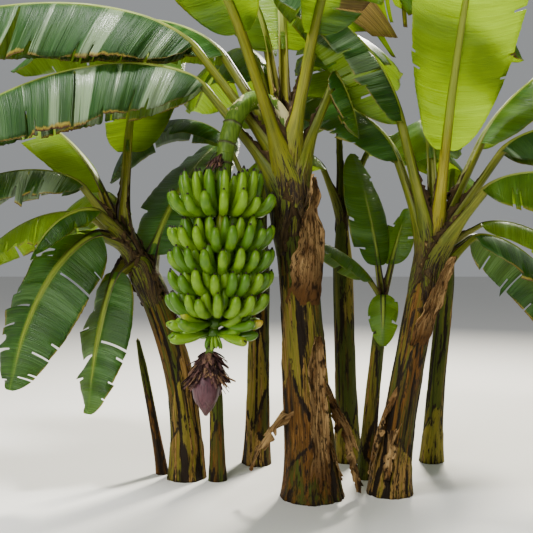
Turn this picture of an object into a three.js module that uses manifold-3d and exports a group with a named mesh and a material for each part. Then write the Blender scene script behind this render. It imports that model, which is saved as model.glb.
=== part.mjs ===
// A banana plant: one clump of pseudostems that rise from a single rhizome. The tallest carries a
// hanging bunch of green fruit with its purple bud, and its broad leaves arch over the others.
// Millimetres, +Z up, +X to the right and +Y away from the front. The origin is the middle of the
// flat cut under the fruiting pseudostem, at ground level.
import * as THREE from "three";
import { mergeVertices } from "three/addons/utils/BufferGeometryUtils.js";
import Module from "manifold-3d";

const wasm = await Module();
wasm.setup();

const GAP = 0.35; // between a piece and what carries it
const SMOOTHING = 0.15; // slivers smaller than this are taken out of a cut piece

// Pseudostems. foot is where each leaves the ground, lean is how far its top stands from there, and
// bow is the power of height that the lean grows with.
const FLARE_HEIGHT = 150;
const NECK_SHARE = 0.22; // of the height, over which the waist narrows to the neck
const SHEATH_STEP = 0.1; // how far each leaf sheath stands over the next, as a share of the radius
const SHEATH_TWIST = 0.0011; // radians for each millimetre of height
const STEM_LEVELS = [0, 0.06, 0.18, 0.45, 0.74, 0.88, 1]; // shares of the height
const FACETS_PER_SHEATH = 4;
const STEMS = {
  main: { foot: [0, 0], lean: [-128, 10], bow: 1.25, height: 1700, radii: [140, 102, 56], sheaths: 5 },
  right: { foot: [368, 50], lean: [222, 0], bow: 1.25, height: 1290, radii: [102, 76, 46], sheaths: 4 },
  left: { foot: [-612, 300], lean: [-370, 20], bow: 2.3, height: 1290, radii: [96, 73, 44], sheaths: 4 },
  back_left: { foot: [-265, 560], lean: [20, 60], bow: 1, height: 1330, radii: [78, 58, 38], sheaths: 4 },
  back_right: { foot: [225, 610], lean: [-30, 50], bow: 1, height: 1330, radii: [78, 58, 38], sheaths: 4 },
  right_rear: { foot: [675, 600], lean: [120, 90], bow: 1.2, height: 1180, radii: [66, 48, 32], sheaths: 3 },
  sucker: { foot: [285, 290], lean: [80, 0], bow: 1.2, height: 880, radii: [52, 36, 22], sheaths: 3 },
  dead_left: { foot: [-745, 360], lean: [-130, 30], bow: 1.1, height: 690, radii: [32, 21, 12], sheaths: 2 },
  stub: { foot: [-455, 250], lean: [-10, 10], bow: 1, height: 520, radii: [46, 34, 20], sheaths: 2 },
};

// Leaves. at is the height on the stem, az the heading of the petiole in degrees from +X, rise its
// slope, fall the slope of the tip, and bend how late in the blade the slope changes. sweep turns
// the heading along the blade, fold hangs each half below the rib, and roll turns the blade about
// the rib. Tears are places along the blade, on its first side and on its other side. A leaf with
// hang is broken over at the base of the blade, which goes on from there at that slope.
const LEAVES = [
  { name: "leaf_main_long", stem: "main", at: 1420, az: 180, rise: 51, fall: -42, bend: 0.43,
    petiole: 620, blade: 1480, width: 660, sweep: 10, fold: 56, roll: -6, tears: [[0.42], [0.25, 0.6]] },
  { name: "leaf_main_high", stem: "main", at: 1545, az: 177, rise: 52, fall: -22, bend: 0.46,
    petiole: 690, blade: 1560, width: 660, sweep: 4, fold: 56, roll: -8, tears: [[0.55], [0.36, 0.7]] },
  { name: "leaf_main_front", stem: "main", at: 1500, az: 225, rise: 63, fall: 0, bend: 0.9,
    petiole: 650, blade: 1400, width: 640, sweep: -14, fold: 14, roll: 0, tears: [[0.5], [0.66]] },
  { name: "leaf_main_right_front", stem: "main", at: 1560, az: 302, rise: 70, fall: 5, bend: 0.9,
    petiole: 560, blade: 1350, width: 560, sweep: 10, fold: 30, roll: 0, tears: [[0.35], [0.2]] },
  { name: "leaf_main_torn", stem: "main", at: 1640, az: 20, rise: 76, fall: -64, bend: 0.8,
    petiole: 520, blade: 1450, width: 560, sweep: -6, fold: 60, roll: 0, tears: [[0.6], [0.4]] },
  { name: "leaf_main_behind", stem: "main", at: 1600, az: 156, rise: 56, fall: -30, bend: 0.6,
    petiole: 560, blade: 1400, width: 560, sweep: 0, fold: 42, roll: 0, tears: [[0.5], [0.4]] },
  { name: "leaf_main_back_left", stem: "main", at: 1640, az: 140, rise: 77, fall: 10, bend: 1,
    petiole: 430, blade: 1300, width: 560, sweep: 0, fold: 24, roll: 0, tears: [[0.6], []] },
  { name: "leaf_main_upright", stem: "main", at: 1665, az: 98, rise: 80, fall: 12, bend: 1.1,
    petiole: 420, blade: 1350, width: 560, sweep: 0, fold: 24, roll: 0, tears: [[], [0.5]] },
  { name: "leaf_main_back_right", stem: "main", at: 1590, az: 62, rise: 62, fall: -35, bend: 0.7,
    petiole: 500, blade: 1350, width: 580, sweep: 0, fold: 40, roll: 0, tears: [[0.5], [0.34]] },
  { name: "leaf_main_back_low", stem: "main", at: 1550, az: 112, rise: 60, fall: -34, bend: 0.6,
    petiole: 520, blade: 1350, width: 600, sweep: 0, fold: 50, roll: 0, tears: [[0.4], [0.6]] },
  { name: "leaf_main_broken", stem: "main", at: 1480, az: 352, rise: 66, fall: -84, bend: 1, hang: -58,
    petiole: 520, blade: 330, width: 210, sweep: 0, fold: 50, roll: 0, tears: [[0.5], []] },

  { name: "leaf_right_tall", stem: "right", at: 1200, az: 300, rise: 81, fall: 40, bend: 1.4,
    petiole: 400, blade: 1500, width: 560, sweep: -40, fold: 12, roll: 0, tears: [[0.45], []] },
  { name: "leaf_right_side", stem: "right", at: 1230, az: 12, rise: 63, fall: -5, bend: 0.8,
    petiole: 460, blade: 1350, width: 560, sweep: 0, fold: 40, roll: -8, tears: [[0.5], [0.4]] },
  { name: "leaf_right_low_side", stem: "right", at: 1180, az: 350, rise: 55, fall: -45, bend: 0.5,
    petiole: 510, blade: 1200, width: 540, sweep: 0, fold: 52, roll: 0, tears: [[0.45], [0.3]] },
  { name: "leaf_right_front", stem: "right", at: 1130, az: 330, rise: 50, fall: -60, bend: 0.5,
    petiole: 370, blade: 1150, width: 520, sweep: 0, fold: 50, roll: 0, tears: [[0.5], [0.35]] },
  { name: "leaf_right_low", stem: "right", at: 1050, az: 12, rise: 36, fall: -72, bend: 0.35,
    petiole: 270, blade: 980, width: 480, sweep: 0, fold: 42, roll: 0, tears: [[0.4], [0.6]] },
  { name: "leaf_right_over", stem: "right", at: 1180, az: 188, rise: 75, fall: 8, bend: 1.1,
    petiole: 570, blade: 900, width: 440, sweep: 0, fold: 55, roll: 0, tears: [[0.3], [0.2]] },
  { name: "leaf_right_behind", stem: "right", at: 1140, az: 150, rise: 70, fall: -30, bend: 0.8,
    petiole: 450, blade: 1150, width: 540, sweep: 0, fold: 35, roll: 0, tears: [[0.5], [0.4]] },
  { name: "leaf_right_back", stem: "right", at: 1220, az: 84, rise: 62, fall: -35, bend: 0.7,
    petiole: 420, blade: 1250, width: 540, sweep: 0, fold: 40, roll: 0, tears: [[0.4], [0.6]] },

  { name: "leaf_left_long", stem: "left", at: 1185, az: 216, rise: 16, fall: -80, bend: 0.3,
    petiole: 140, blade: 900, width: 460, sweep: 0, fold: 22, roll: -32, tears: [[0.34], [0.56]] },
  { name: "leaf_left_hanging", stem: "left", at: 1120, az: 238, rise: -35, fall: -83, bend: 0.25,
    petiole: 150, blade: 700, width: 310, sweep: 0, fold: 20, roll: 0, tears: [[0.5], [0.6]] },
  { name: "leaf_left_upright", stem: "left", at: 1020, az: 60, rise: 60, fall: 20, bend: 1.3,
    petiole: 110, blade: 1050, width: 480, sweep: 0, fold: 12, roll: 0, tears: [[], [0.36]] },
  { name: "leaf_left_backlit", stem: "left", at: 1255, az: 150, rise: 62, fall: 0, bend: 0.9,
    petiole: 200, blade: 1050, width: 430, sweep: 0, fold: 30, roll: 0, tears: [[0.5], []] },
  { name: "leaf_left_back", stem: "left", at: 1225, az: 76, rise: 80, fall: 15, bend: 1.2,
    petiole: 420, blade: 1050, width: 460, sweep: 0, fold: 24, roll: 0, tears: [[], [0.5]] },
  { name: "leaf_left_arching", stem: "left", at: 1262, az: 190, rise: 52, fall: -48, bend: 0.5,
    petiole: 250, blade: 950, width: 440, sweep: 0, fold: 42, roll: 0, tears: [[0.3], [0.5]] },
  { name: "leaf_left_low", stem: "left", at: 1215, az: 174, rise: 34, fall: -55, bend: 0.6,
    petiole: 150, blade: 780, width: 360, sweep: 0, fold: 46, roll: 0, tears: [[0.4], []] },
  { name: "leaf_left_rear", stem: "left", at: 1150, az: 122, rise: 52, fall: -45, bend: 0.6,
    petiole: 260, blade: 950, width: 430, sweep: 0, fold: 40, roll: 0, tears: [[0.5], [0.4]] },
  { name: "leaf_left_curled", stem: "left", at: 1238, az: 226, rise: 36, fall: -70, bend: 0.5,
    petiole: 160, blade: 460, width: 170, sweep: -20, fold: 60, roll: 0, tears: [[], [0.5]] },
];

// The crowns of the smaller pseudostems, each one piece: their petioles join above the neck.
const CROWNS = {
  back_left: [
    { az: 176, rise: 66, fall: -80, bend: 0.8, petiole: 380, blade: 900, width: 420, fold: 30, tears: [[0.5], []] },
    { az: 60, rise: 70, fall: -20, bend: 0.8, petiole: 360, blade: 950, width: 430, fold: 34, tears: [[], [0.4]] },
  ],
  back_right: [
    { az: 100, rise: 83, fall: 10, bend: 1, petiole: 480, blade: 950, width: 430, fold: 26, tears: [[0.4], []] },
    { az: 30, rise: 64, fall: -55, bend: 0.6, petiole: 360, blade: 950, width: 430, fold: 44, tears: [[], [0.5]] },
    { az: 215, rise: 62, fall: -60, bend: 0.6, petiole: 260, blade: 700, width: 330, fold: 44, tears: [[0.5], []] },
  ],
  right_rear: [
    { az: 345, rise: 30, fall: -62, bend: 0.5, petiole: 180, blade: 760, width: 330, fold: 46, tears: [[0.4], []] },
    { az: 75, rise: 62, fall: -30, bend: 0.7, petiole: 280, blade: 850, width: 380, fold: 38, tears: [[], [0.5]] },
  ],
  sucker: [
    { az: 128, rise: 80, fall: 64, bend: 1, petiole: 170, blade: 610, width: 290, fold: 12, tears: [[], []] },
    { az: 50, rise: 66, fall: 56, bend: 1, petiole: 190, blade: 330, width: 170, fold: 20, tears: [[], []] },
    { az: 196, rise: 56, fall: 10, bend: 0.8, petiole: 120, blade: 420, width: 230, fold: 46, tears: [[], []] },
    { az: 262, rise: 25, fall: -86, bend: 0.3, petiole: 60, blade: 290, width: 150, fold: 24, tears: [[], []] },
  ],
};
const CROWN_LIFT = 14; // how far above its neck a crown's petioles start
const CROWN_THICKNESS = 0.7; // of the big leaves' petioles

// Dead leaf strips that hang from the pseudostems.
const DRY_LEAVES = [
  { name: "dry_leaf_right", stem: "main", at: 560, az: 350, rise: -38, fall: -86, bend: 0.5,
    petiole: 90, blade: 520, width: 95, fold: 30, thick: 0.5, tears: [[0.4], [0.6]] },
  { name: "dry_leaf_left", stem: "main", at: 430, az: 196, rise: -20, fall: -70, bend: 0.5,
    petiole: 90, blade: 330, width: 80, fold: 30, thick: 0.5, tears: [[], [0.5]] },
  { name: "dry_leaf_inner", stem: "right", at: 520, az: 200, rise: -40, fall: -84, bend: 0.5,
    petiole: 70, blade: 400, width: 80, fold: 30, thick: 0.5, tears: [[0.5], []] },
];

// Dry leaf sheaths that peel off the pseudostems: az is the way they face, arc their width in
// degrees, and peel how far the free upper edge stands off. Each still clasps the stem at its foot.
const FLAPS = [
  { name: "dry_sheath_main_low", stem: "main", from: 64, to: 756, az: 292, arc: 58, peel: 44 },
  { name: "dry_sheath_main_high", stem: "main", from: 1010, to: 1480, az: 318, arc: 46, peel: 30 },
  { name: "dry_sheath_right", stem: "right", from: 760, to: 1110, az: 298, arc: 70, peel: 58 },
];
const FLAP_THICKNESS = 9;
const FLAP_CLASP = 0.3; // the share of a flap's height over which it doesn't peel
const FLAP_TOP_WIDTH = 0.35; // of its width at the foot
const FLAP_STEPS = 5;
const FLAP_FACETS = 3;

// The fruit stalk leaves the neck of the main pseudostem, arches over and hangs.
const STALK_POINTS = [
  [-120, 6, 1680], [-150, 2, 1752], [-205, -8, 1808], [-276, -34, 1818], [-338, -78, 1760],
  [-378, -122, 1650], [-402, -146, 1530], [-412, -152, 1250], [-420, -152, 960], [-452, -152, 760],
  [-486, -152, 600],
];
const STALK_ROWS = 22;
const STALK_SIDES = 8;
const STALK_RADII = [40, 15]; // at the neck and above the bud
const STALK_SPLIT = 0.36; // the share of its length where it hangs straight down

// Hands of fruit, from the top down. A hand is a cushion round the stalk with a row of fingers
// fused on it. lift is how far their tips rise over the cushion, and gap is the angle at the front
// that the spread fingers of the last hands leave free. The top hand shows its inner row too.
const HANDS = [
  { height: 1305, reach: 232, lift: 88, count: 10, gap: 0, inner: { count: 6, lift: 190 } },
  { height: 1151, reach: 228, lift: 96, count: 12, gap: 0 },
  { height: 1055, reach: 226, lift: 94, count: 12, gap: 0 },
  { height: 960, reach: 222, lift: 90, count: 12, gap: 0 },
  { height: 872, reach: 216, lift: 80, count: 12, gap: 0 },
  { height: 822, reach: 206, lift: 14, count: 8, gap: 84 },
  { height: 772, reach: 190, lift: -8, count: 8, gap: 84 },
];
const HAND_TURNS = [0.75, 0.25]; // of a finger's spacing, by turns, so that rows fill each other's gaps
const INNER_TURN = 0.3;
const FINGER_RADIUS = 33;
const FINGER_SIDES = 4;
const FINGER_DROOP = 34; // how far a finger's control point lies under its cushion
const FINGER_TUCK = 8; // how far its tip leans back in
const FINGER_PROFILE = [0.3, 0.95, 1, 0.45]; // the finger's radius along it
const INNER_REACH = 0.6; // of the outer row's reach
const CUSHION_RADIUS = 60;
const CUSHION_HEIGHT = 34;

const BUD_TOP = 616;
const BUD_LENGTH = 214;
const BUD_PROFILE = [[0, 20], [0.12, 44], [0.34, 60], [0.6, 52], [0.82, 30], [1, 7]];
const BUD_SIDES = 10;
const SPENT_TOP = 715;
const SPENT_BOTTOM = 602;
const SPENT_RADIUS = 124;
const SPENT_CORE = [44, 34]; // the core's radii, at its foot and top
const SPENT_SCALES = 12;
const SPENT_SCALE_RADIUS = 17;
const SPENT_TURN = 2.4; // radians from each scale to the next

const PETIOLE_HALF = 23;
const PETIOLE_DEPTH = 30;
const PETIOLE_WING = 15;
const PETIOLE_WING_FOLD = -52;
const PETIOLE_FLARE = 0.7; // how much wider the petiole is at its foot
const CURVED_WIDTH = 600; // blades this wide also curve across each half
const BLADE_CURL = 0.28;
const RIB_TIP_SHARE = 0.2; // of the petiole's width and depth, left at the tip of the blade
const BLADE_THICKNESS = 0.0105; // of the blade and petiole's length
const BLADE_PLACES = [0.04, 0.2, 0.48, 0.78, 1];
const WIDE_BLADE_PLACES = [0.04, 0.14, 0.32, 0.5, 0.68, 0.86, 1];
const CREEP = 1.5; // how much further a grown leaf reaches along its rib than across it
const HANG_START = 0.002; // of the blade, where a broken leaf's blade sets in
const TEAR_HALF = 0.022; // of the blade's length
const TIP_HALF = 16;
const BLADE_FULLNESS = 0.85; // under 1 moves the widest place towards the tip
const BLADE_NARROWING = 0.15; // of the width, lost towards the tip
const RIB_STEPS = 60;

const radians = THREE.MathUtils.degToRad;
const { lerp, smoothstep } = THREE.MathUtils;

// Skins rings of points, each as long as the next, into one closed geometry. The rings run
// anticlockwise about the direction of travel.
function loft(rings) {
  const sides = rings[0].length;
  const points = rings.flat();
  const faces = [];
  for (let row = 0; row + 1 < rings.length; row++)
    for (let side = 0; side < sides; side++) {
      const a = row * sides + side;
      const b = row * sides + ((side + 1) % sides);
      faces.push(a, b, b + sides, a, b + sides, a + sides);
    }
  const last = (rings.length - 1) * sides;
  const middle = (ring) =>
    ring.reduce((sum, p) => sum.add(p), new THREE.Vector3()).divideScalar(sides);
  const first = points.push(middle(rings[0])) - 1;
  const end = points.push(middle(rings.at(-1))) - 1;
  for (let side = 0; side < sides; side++) {
    const next = (side + 1) % sides;
    faces.push(first, next, side, end, last + side, last + next);
  }
  return new THREE.BufferGeometry().setFromPoints(points).setIndex(faces);
}

function solidOf(geometry) {
  const bare = geometry.clone();
  bare.deleteAttribute("normal");
  bare.deleteAttribute("uv");
  const merged = mergeVertices(bare, 1e-3);
  const vertProperties = merged.attributes.position.array;
  const triVerts = new Uint32Array(merged.index.array);
  return new wasm.Manifold(new wasm.Mesh({ numProp: 3, vertProperties, triVerts }));
}

// The largest body of a solid, as a geometry: scraps that a cut leaves loose are dropped.
function geometryOf(solid) {
  const bodies = solid.simplify(SMOOTHING).decompose().sort((a, b) => b.volume() - a.volume());
  const { numProp, numVert, vertProperties, triVerts } = bodies[0].getMesh();
  const position = new Float32Array(numVert * 3);
  for (let i = 0; i < numVert; i++)
    position.set(vertProperties.subarray(i * numProp, i * numProp + 3), i * 3);
  return new THREE.BufferGeometry()
    .setAttribute("position", new THREE.BufferAttribute(position, 3))
    .setIndex(new THREE.BufferAttribute(triVerts, 1));
}

const join = (solids) => solids.reduce((sum, solid) => sum.add(solid));

function boxesMeet(a, b) {
  return [0, 1, 2].every((axis) => a.min[axis] <= b.max[axis] && b.min[axis] <= a.max[axis]);
}

// Cuts a solid clear of the obstacles that come near it.
function clearOf(solid, obstacles) {
  const box = solid.boundingBox();
  return obstacles
    .filter((obstacle) => boxesMeet(box, obstacle.boundingBox()))
    .reduce((rest, obstacle) => rest.subtract(obstacle), solid);
}

// The middle of a pseudostem at a height.
function stemAxis(stem, height) {
  const share = Math.pow(Math.max(height, 0) / stem.height, stem.bow);
  const [x, y] = stem.foot.map((foot, i) => foot + stem.lean[i] * share);
  return new THREE.Vector3(x, y, height);
}

function stemRadius(stem, height) {
  const [foot, waist, neck] = stem.radii;
  const narrowing = smoothstep(height, stem.height * (1 - NECK_SHARE), stem.height);
  return lerp(waist, neck, narrowing) + (foot - waist) * Math.exp(-height / FLARE_HEIGHT);
}

// A pseudostem with the edges of its overlapping sheaths, grown all round by extra.
function stemSolid(stem, extra = 0) {
  const facets = FACETS_PER_SHEATH * stem.sheaths;
  const rings = STEM_LEVELS.map((share) => {
    const height = stem.height * share;
    const radius = stemRadius(stem, height);
    const middle = stemAxis(stem, height);
    if (share === 1) middle.z += extra;
    return Array.from({ length: facets }, (_, i) => {
      const angle = (2 * Math.PI * i) / facets + SHEATH_TWIST * height;
      const step = ((i % FACETS_PER_SHEATH) / FACETS_PER_SHEATH - 0.5) * SHEATH_STEP;
      const reach = radius * (1 + step) + extra;
      return new THREE.Vector3(Math.cos(angle), Math.sin(angle), 0)
        .multiplyScalar(reach)
        .add(middle);
    });
  });
  return solidOf(loft(rings));
}

// The heading of a leaf's rib at a place along the blade, with the axes across and above it.
function ribAxes(leaf, place) {
  const hung = place > 0 ? (leaf.hang ?? leaf.rise) : leaf.rise;
  const rise = radians(hung + (leaf.fall - hung) * Math.pow(Math.max(place, 0), leaf.bend));
  const heading = radians(leaf.az + (leaf.sweep ?? 0) * place);
  const flat = new THREE.Vector3(Math.cos(heading), Math.sin(heading), 0);
  const along = flat.clone().multiplyScalar(Math.cos(rise));
  along.z = Math.sin(rise);
  const across = new THREE.Vector3(-Math.sin(heading), Math.cos(heading), 0);
  across.applyAxisAngle(along, radians(leaf.roll ?? 0));
  return { along, across, above: along.clone().cross(across) };
}

// The points of a leaf's rib, from the middle of its stem to the blade's tip.
function ribPoints(leaf) {
  const length = leaf.petiole + leaf.blade;
  const points = [stemAxis(STEMS[leaf.stem], leaf.at)];
  for (let i = 0; i < RIB_STEPS; i++) {
    const place = (((i + 0.5) / RIB_STEPS) * length - leaf.petiole) / leaf.blade;
    const step = ribAxes(leaf, Math.max(0, place)).along.multiplyScalar(length / RIB_STEPS);
    points.push(points.at(-1).clone().add(step));
  }
  return points;
}

// Half the blade's width at a place along it: round at the base and drawn out at the tip.
const bladeHalf = (leaf, place) =>
  (leaf.width / 2) *
  Math.sqrt(Math.sin(Math.PI * Math.pow(place, BLADE_FULLNESS))) *
  (1 - BLADE_NARROWING * place);

// One ring of a leaf: its rib with a half blade on each side, grown all round by extra.
function leafRing(leaf, rib, distance, notched, extra, push = 0) {
  const length = leaf.petiole + leaf.blade;
  const place = Math.max(0, (distance - leaf.petiole) / leaf.blade);
  const { along, across, above } = ribAxes(leaf, place);
  const exact = Math.min((distance / length) * RIB_STEPS, RIB_STEPS - 1e-6);
  const from = Math.floor(exact);
  const middle = rib[from].clone().lerp(rib[from + 1], exact - from);
  middle.addScaledVector(along, push);
  const flare = 1 + PETIOLE_FLARE * Math.pow(Math.max(0, 1 - distance / leaf.petiole), 2);
  const slim = lerp(1, RIB_TIP_SHARE, place) * (leaf.thick ?? 1) * flare;
  const ribHalf = PETIOLE_HALF * slim + extra;
  const depth = PETIOLE_DEPTH * slim + extra;
  const thick = (BLADE_THICKNESS * length) / 2 + extra;
  const point = (x, y) =>
    middle.clone().addScaledVector(across, x).addScaledVector(above, y);
  const half = (side, notch) => {
    const wing = lerp(PETIOLE_WING * slim, TIP_HALF, place);
    const reach = Math.max(notch || place === 0 ? 0 : bladeHalf(leaf, place), wing);
    const fold = place === 0 ? PETIOLE_WING_FOLD : leaf.fold * Math.min(1, reach / 60);
    const curl = leaf.width < CURVED_WIDTH ? 0 : BLADE_CURL;
    const inner = radians(fold * (1 - curl));
    const outer = radians(fold * (1 + curl));
    const mid = [
      PETIOLE_HALF * slim + (reach / 2) * Math.cos(inner),
      (-reach / 2) * Math.sin(inner),
    ];
    const rest = reach / 2 + extra;
    const edge = [mid[0] + rest * Math.cos(outer), mid[1] - rest * Math.sin(outer)];
    const set = ([x, y], angle, sign) =>
      point(side * (x + sign * thick * Math.sin(angle)), y + sign * thick * Math.cos(angle));
    return {
      edges: [set(edge, outer, 1), set(edge, outer, -1)],
      mids: curl ? [[set(mid, inner, 1)], [set(mid, inner, -1)]] : [[], []],
      ribBottom: curl ? [point(side * ribHalf, -thick - depth / 3)] : [],
    };
  };
  const a = half(1, notched[0]);
  const b = half(-1, notched[1]);
  return [
    a.edges[0], ...a.mids[0], point(0, thick), ...b.mids[0], b.edges[0], b.edges[1],
    ...b.mids[1], ...b.ribBottom, point(0, -thick - depth), ...a.ribBottom, ...a.mids[1], a.edges[1],
  ];
}

// The petiole, or the blade with its tears, or both in one, of a leaf.
function leafSolid(leaf, extra = 0, parts = ["petiole", "blade"]) {
  const rib = ribPoints(leaf);
  const whole = [false, false];
  const rings = [];
  if (parts.includes("petiole"))
    rings.push(
      leafRing(leaf, rib, 0, whole, extra),
      leafRing(leaf, rib, leaf.petiole, whole, extra, leaf.hang === undefined ? -CREEP * extra : extra),
    );
  if (parts.includes("blade")) {
    const creep = (CREEP * extra) / leaf.blade;
    const places = leaf.width < CURVED_WIDTH ? BLADE_PLACES : WIDE_BLADE_PLACES;
    const stations = places.map((place, i) => ({ place: i ? place : place - creep, notched: whole }));
    if (leaf.hang !== undefined) stations.push({ place: HANG_START, notched: whole });
    leaf.tears.forEach((tears, side) => {
      for (const tear of tears) {
        stations.push({ place: tear - TEAR_HALF + creep, notched: whole });
        stations.push({ place: tear, notched: whole.map((_, i) => i === side) });
        stations.push({ place: tear + TEAR_HALF - creep, notched: whole });
      }
    });
    stations.sort((a, b) => a.place - b.place);
    for (const { place, notched } of stations) {
      const distance = leaf.petiole + leaf.blade * place;
      rings.push(leafRing(leaf, rib, distance, notched, extra, place < 1 ? 0 : extra));
    }
  }
  return solidOf(loft(rings));
}

// A round limb along a part of a curve.
function limbSolid(curve, from, to, rows, sides, radiusAt) {
  const frames = curve.computeFrenetFrames(STALK_ROWS, false);
  const rings = [];
  for (let row = 0; row <= rows; row++) {
    const share = lerp(from, to, row / rows);
    const frame = Math.round(share * STALK_ROWS);
    const middle = curve.getPointAt(share);
    rings.push(
      Array.from({ length: sides }, (_, i) => {
        const angle = (2 * Math.PI * i) / sides;
        return middle
          .clone()
          .addScaledVector(frames.normals[frame], radiusAt(share) * Math.cos(angle))
          .addScaledVector(frames.binormals[frame], radiusAt(share) * Math.sin(angle));
      }),
    );
  }
  return solidOf(loft(rings));
}

// One fruit: it leaves the cushion outwards and curves up to its blunt tip.
function fingerSolid(centre, azimuth, reach, lift) {
  const out = new THREE.Vector3(Math.cos(azimuth), Math.sin(azimuth), 0);
  const at = (r, z) => centre.clone().addScaledVector(out, r).add(new THREE.Vector3(0, 0, z));
  const path = new THREE.QuadraticBezierCurve3(
    at(CUSHION_RADIUS * 0.7, 0), at(reach, -FINGER_DROOP), at(reach - FINGER_TUCK, lift),
  );
  const across = new THREE.Vector3(-out.y, out.x, 0);
  const rings = FINGER_PROFILE.map((share, i) => {
    const t = i / (FINGER_PROFILE.length - 1);
    const above = path.getTangentAt(t).cross(across);
    const middle = path.getPointAt(t);
    return Array.from({ length: FINGER_SIDES }, (_, k) => {
      const angle = (2 * Math.PI * (k + 0.5)) / FINGER_SIDES;
      return middle
        .clone()
        .addScaledVector(across, share * FINGER_RADIUS * Math.cos(angle))
        .addScaledVector(above, share * FINGER_RADIUS * Math.sin(angle));
    });
  });
  return solidOf(loft(rings));
}

function handSolid(hand, order, centre) {
  const parts = [
    wasm.Manifold.cylinder(CUSHION_HEIGHT, CUSHION_RADIUS, CUSHION_RADIUS, STALK_SIDES, true)
      .translate([centre.x, centre.y, centre.z]),
  ];
  const row = (count, turn, reach, lift) => {
    for (let i = 0; i < count; i++) {
      const around = radians(hand.gap / 2 + ((360 - hand.gap) * (i + turn)) / count);
      parts.push(fingerSolid(centre, around - Math.PI / 2, reach, lift));
    }
  };
  row(hand.count, HAND_TURNS[order % 2], hand.reach, hand.lift);
  if (hand.inner) row(hand.inner.count, INNER_TURN, hand.reach * INNER_REACH, hand.inner.lift);
  return join(parts);
}

// A dry sheath: a patch of shell round the pseudostem that stands off it more towards its top.
function flapSolid(flap) {
  const stem = STEMS[flap.stem];
  const rings = [];
  for (let row = 0; row <= FLAP_STEPS; row++) {
    const share = row / FLAP_STEPS;
    const height = lerp(flap.from, flap.to, share);
    const middle = stemAxis(stem, height);
    const radius = stemRadius(stem, height);
    const outside = radius * (1 + SHEATH_STEP / 2) + FLAP_THICKNESS;
    const free = Math.max(0, (share - FLAP_CLASP) / (1 - FLAP_CLASP));
    const inside = row === 0 ? radius * (1 - SHEATH_STEP) : outside - FLAP_THICKNESS;
    const narrow = lerp(1, FLAP_TOP_WIDTH, share);
    const side = (reach, facet) => {
      const turn = facet / FLAP_FACETS - 0.5;
      const angle = radians(flap.az + flap.arc * narrow * turn);
      const out = reach + flap.peel * free * free * (0.6 + Math.abs(turn));
      return new THREE.Vector3(Math.cos(angle) * out, Math.sin(angle) * out, 0).add(middle);
    };
    const facets = Array.from({ length: FLAP_FACETS + 1 }, (_, i) => i);
    rings.push([
      ...facets.map((facet) => side(outside, facet)),
      ...facets.reverse().map((facet) => side(inside, facet)),
    ]);
  }
  return solidOf(loft(rings));
}

// The bud: a pointed spindle of closed bracts, grown all round by extra.
function budSolid(middle, extra = 0) {
  const profile = BUD_PROFILE.map(
    ([share, radius]) => new THREE.Vector2(radius + extra, -share * BUD_LENGTH),
  );
  const closed = [
    new THREE.Vector2(0, -BUD_LENGTH - extra), ...profile.reverse(), new THREE.Vector2(0, extra),
  ];
  const turned = new THREE.LatheGeometry(closed, BUD_SIDES).rotateX(Math.PI / 2);
  return solidOf(turned.translate(middle.x, middle.y, middle.z));
}

// The withered bracts and flowers above the bud: a shaggy collar of pointed scales round a core.
function spentSolid(top, bottom) {
  const height = top.z - bottom.z;
  const middle = top.clone().lerp(bottom, 0.5);
  const parts = [
    wasm.Manifold.cylinder(height * 0.8, ...SPENT_CORE, STALK_SIDES, true)
      .translate([middle.x, middle.y, middle.z]),
  ];
  for (let i = 0; i < SPENT_SCALES; i++) {
    const level = (i + 0.5) / SPENT_SCALES;
    const length = SPENT_RADIUS * (0.7 + 0.3 * Math.sin(i * 1.7));
    const scale = new THREE.ConeGeometry(SPENT_SCALE_RADIUS, length, 4)
      .translate(0, SPENT_RADIUS * 0.42, 0)
      .rotateZ(-Math.PI / 2 - radians(lerp(-25, 50, level)))
      .rotateX(Math.PI / 2)
      .rotateZ(i * SPENT_TURN)
      .translate(middle.x, middle.y, top.z - height * (0.18 + 0.6 * level));
    parts.push(solidOf(scale));
  }
  return join(parts);
}

const FINISH = {
  stem: { color: 0x6b6a2a, roughness: 0.8, metalness: 0 },
  leaf: { color: 0x3f7d1f, roughness: 0.5, metalness: 0 },
  fruit: { color: 0x6fae1e, roughness: 0.45, metalness: 0 },
  stalk: { color: 0x5f8f2a, roughness: 0.5, metalness: 0 },
  bud: { color: 0x6d3a48, roughness: 0.6, metalness: 0 },
  dry: { color: 0x7d5a38, roughness: 0.9, metalness: 0 },
};

const plant = new THREE.Group();

function place(name, finish, solid) {
  const mesh = new THREE.Mesh(geometryOf(solid), new THREE.MeshStandardMaterial(FINISH[finish]));
  mesh.name = name;
  plant.add(mesh);
}

for (const [name, stem] of Object.entries(STEMS)) place(`stem_${name}`, "stem", stemSolid(stem));

const stemsGrown = Object.values(STEMS).map((stem) => stemSolid(stem, GAP));

const stalk = new THREE.CatmullRomCurve3(STALK_POINTS.map((p) => new THREE.Vector3(...p)));
const stalkPiece = (from, to, extra) =>
  limbSolid(stalk, from, to, Math.round((to - from) * STALK_ROWS), STALK_SIDES,
    (share) => lerp(...STALK_RADII, share) + extra);
const stalkPieces = (extra) => [
  stalkPiece(0, STALK_SPLIT, extra),
  stalkPiece(STALK_SPLIT + GAP / stalk.getLength(), 1, extra),
];
const stalkGrown = join(stalkPieces(GAP));
const [arch, hanging] = stalkPieces(0);
place("fruit_stalk_arch", "stalk", clearOf(arch, stemsGrown));
place("fruit_stalk_hanging", "stalk", hanging);

// The point of the hanging stalk at a height.
const hangingPoints = stalk.getSpacedPoints(400).slice(400 * STALK_SPLIT);
const stalkAt = (height) => hangingPoints.find((p) => p.z <= height);

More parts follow.
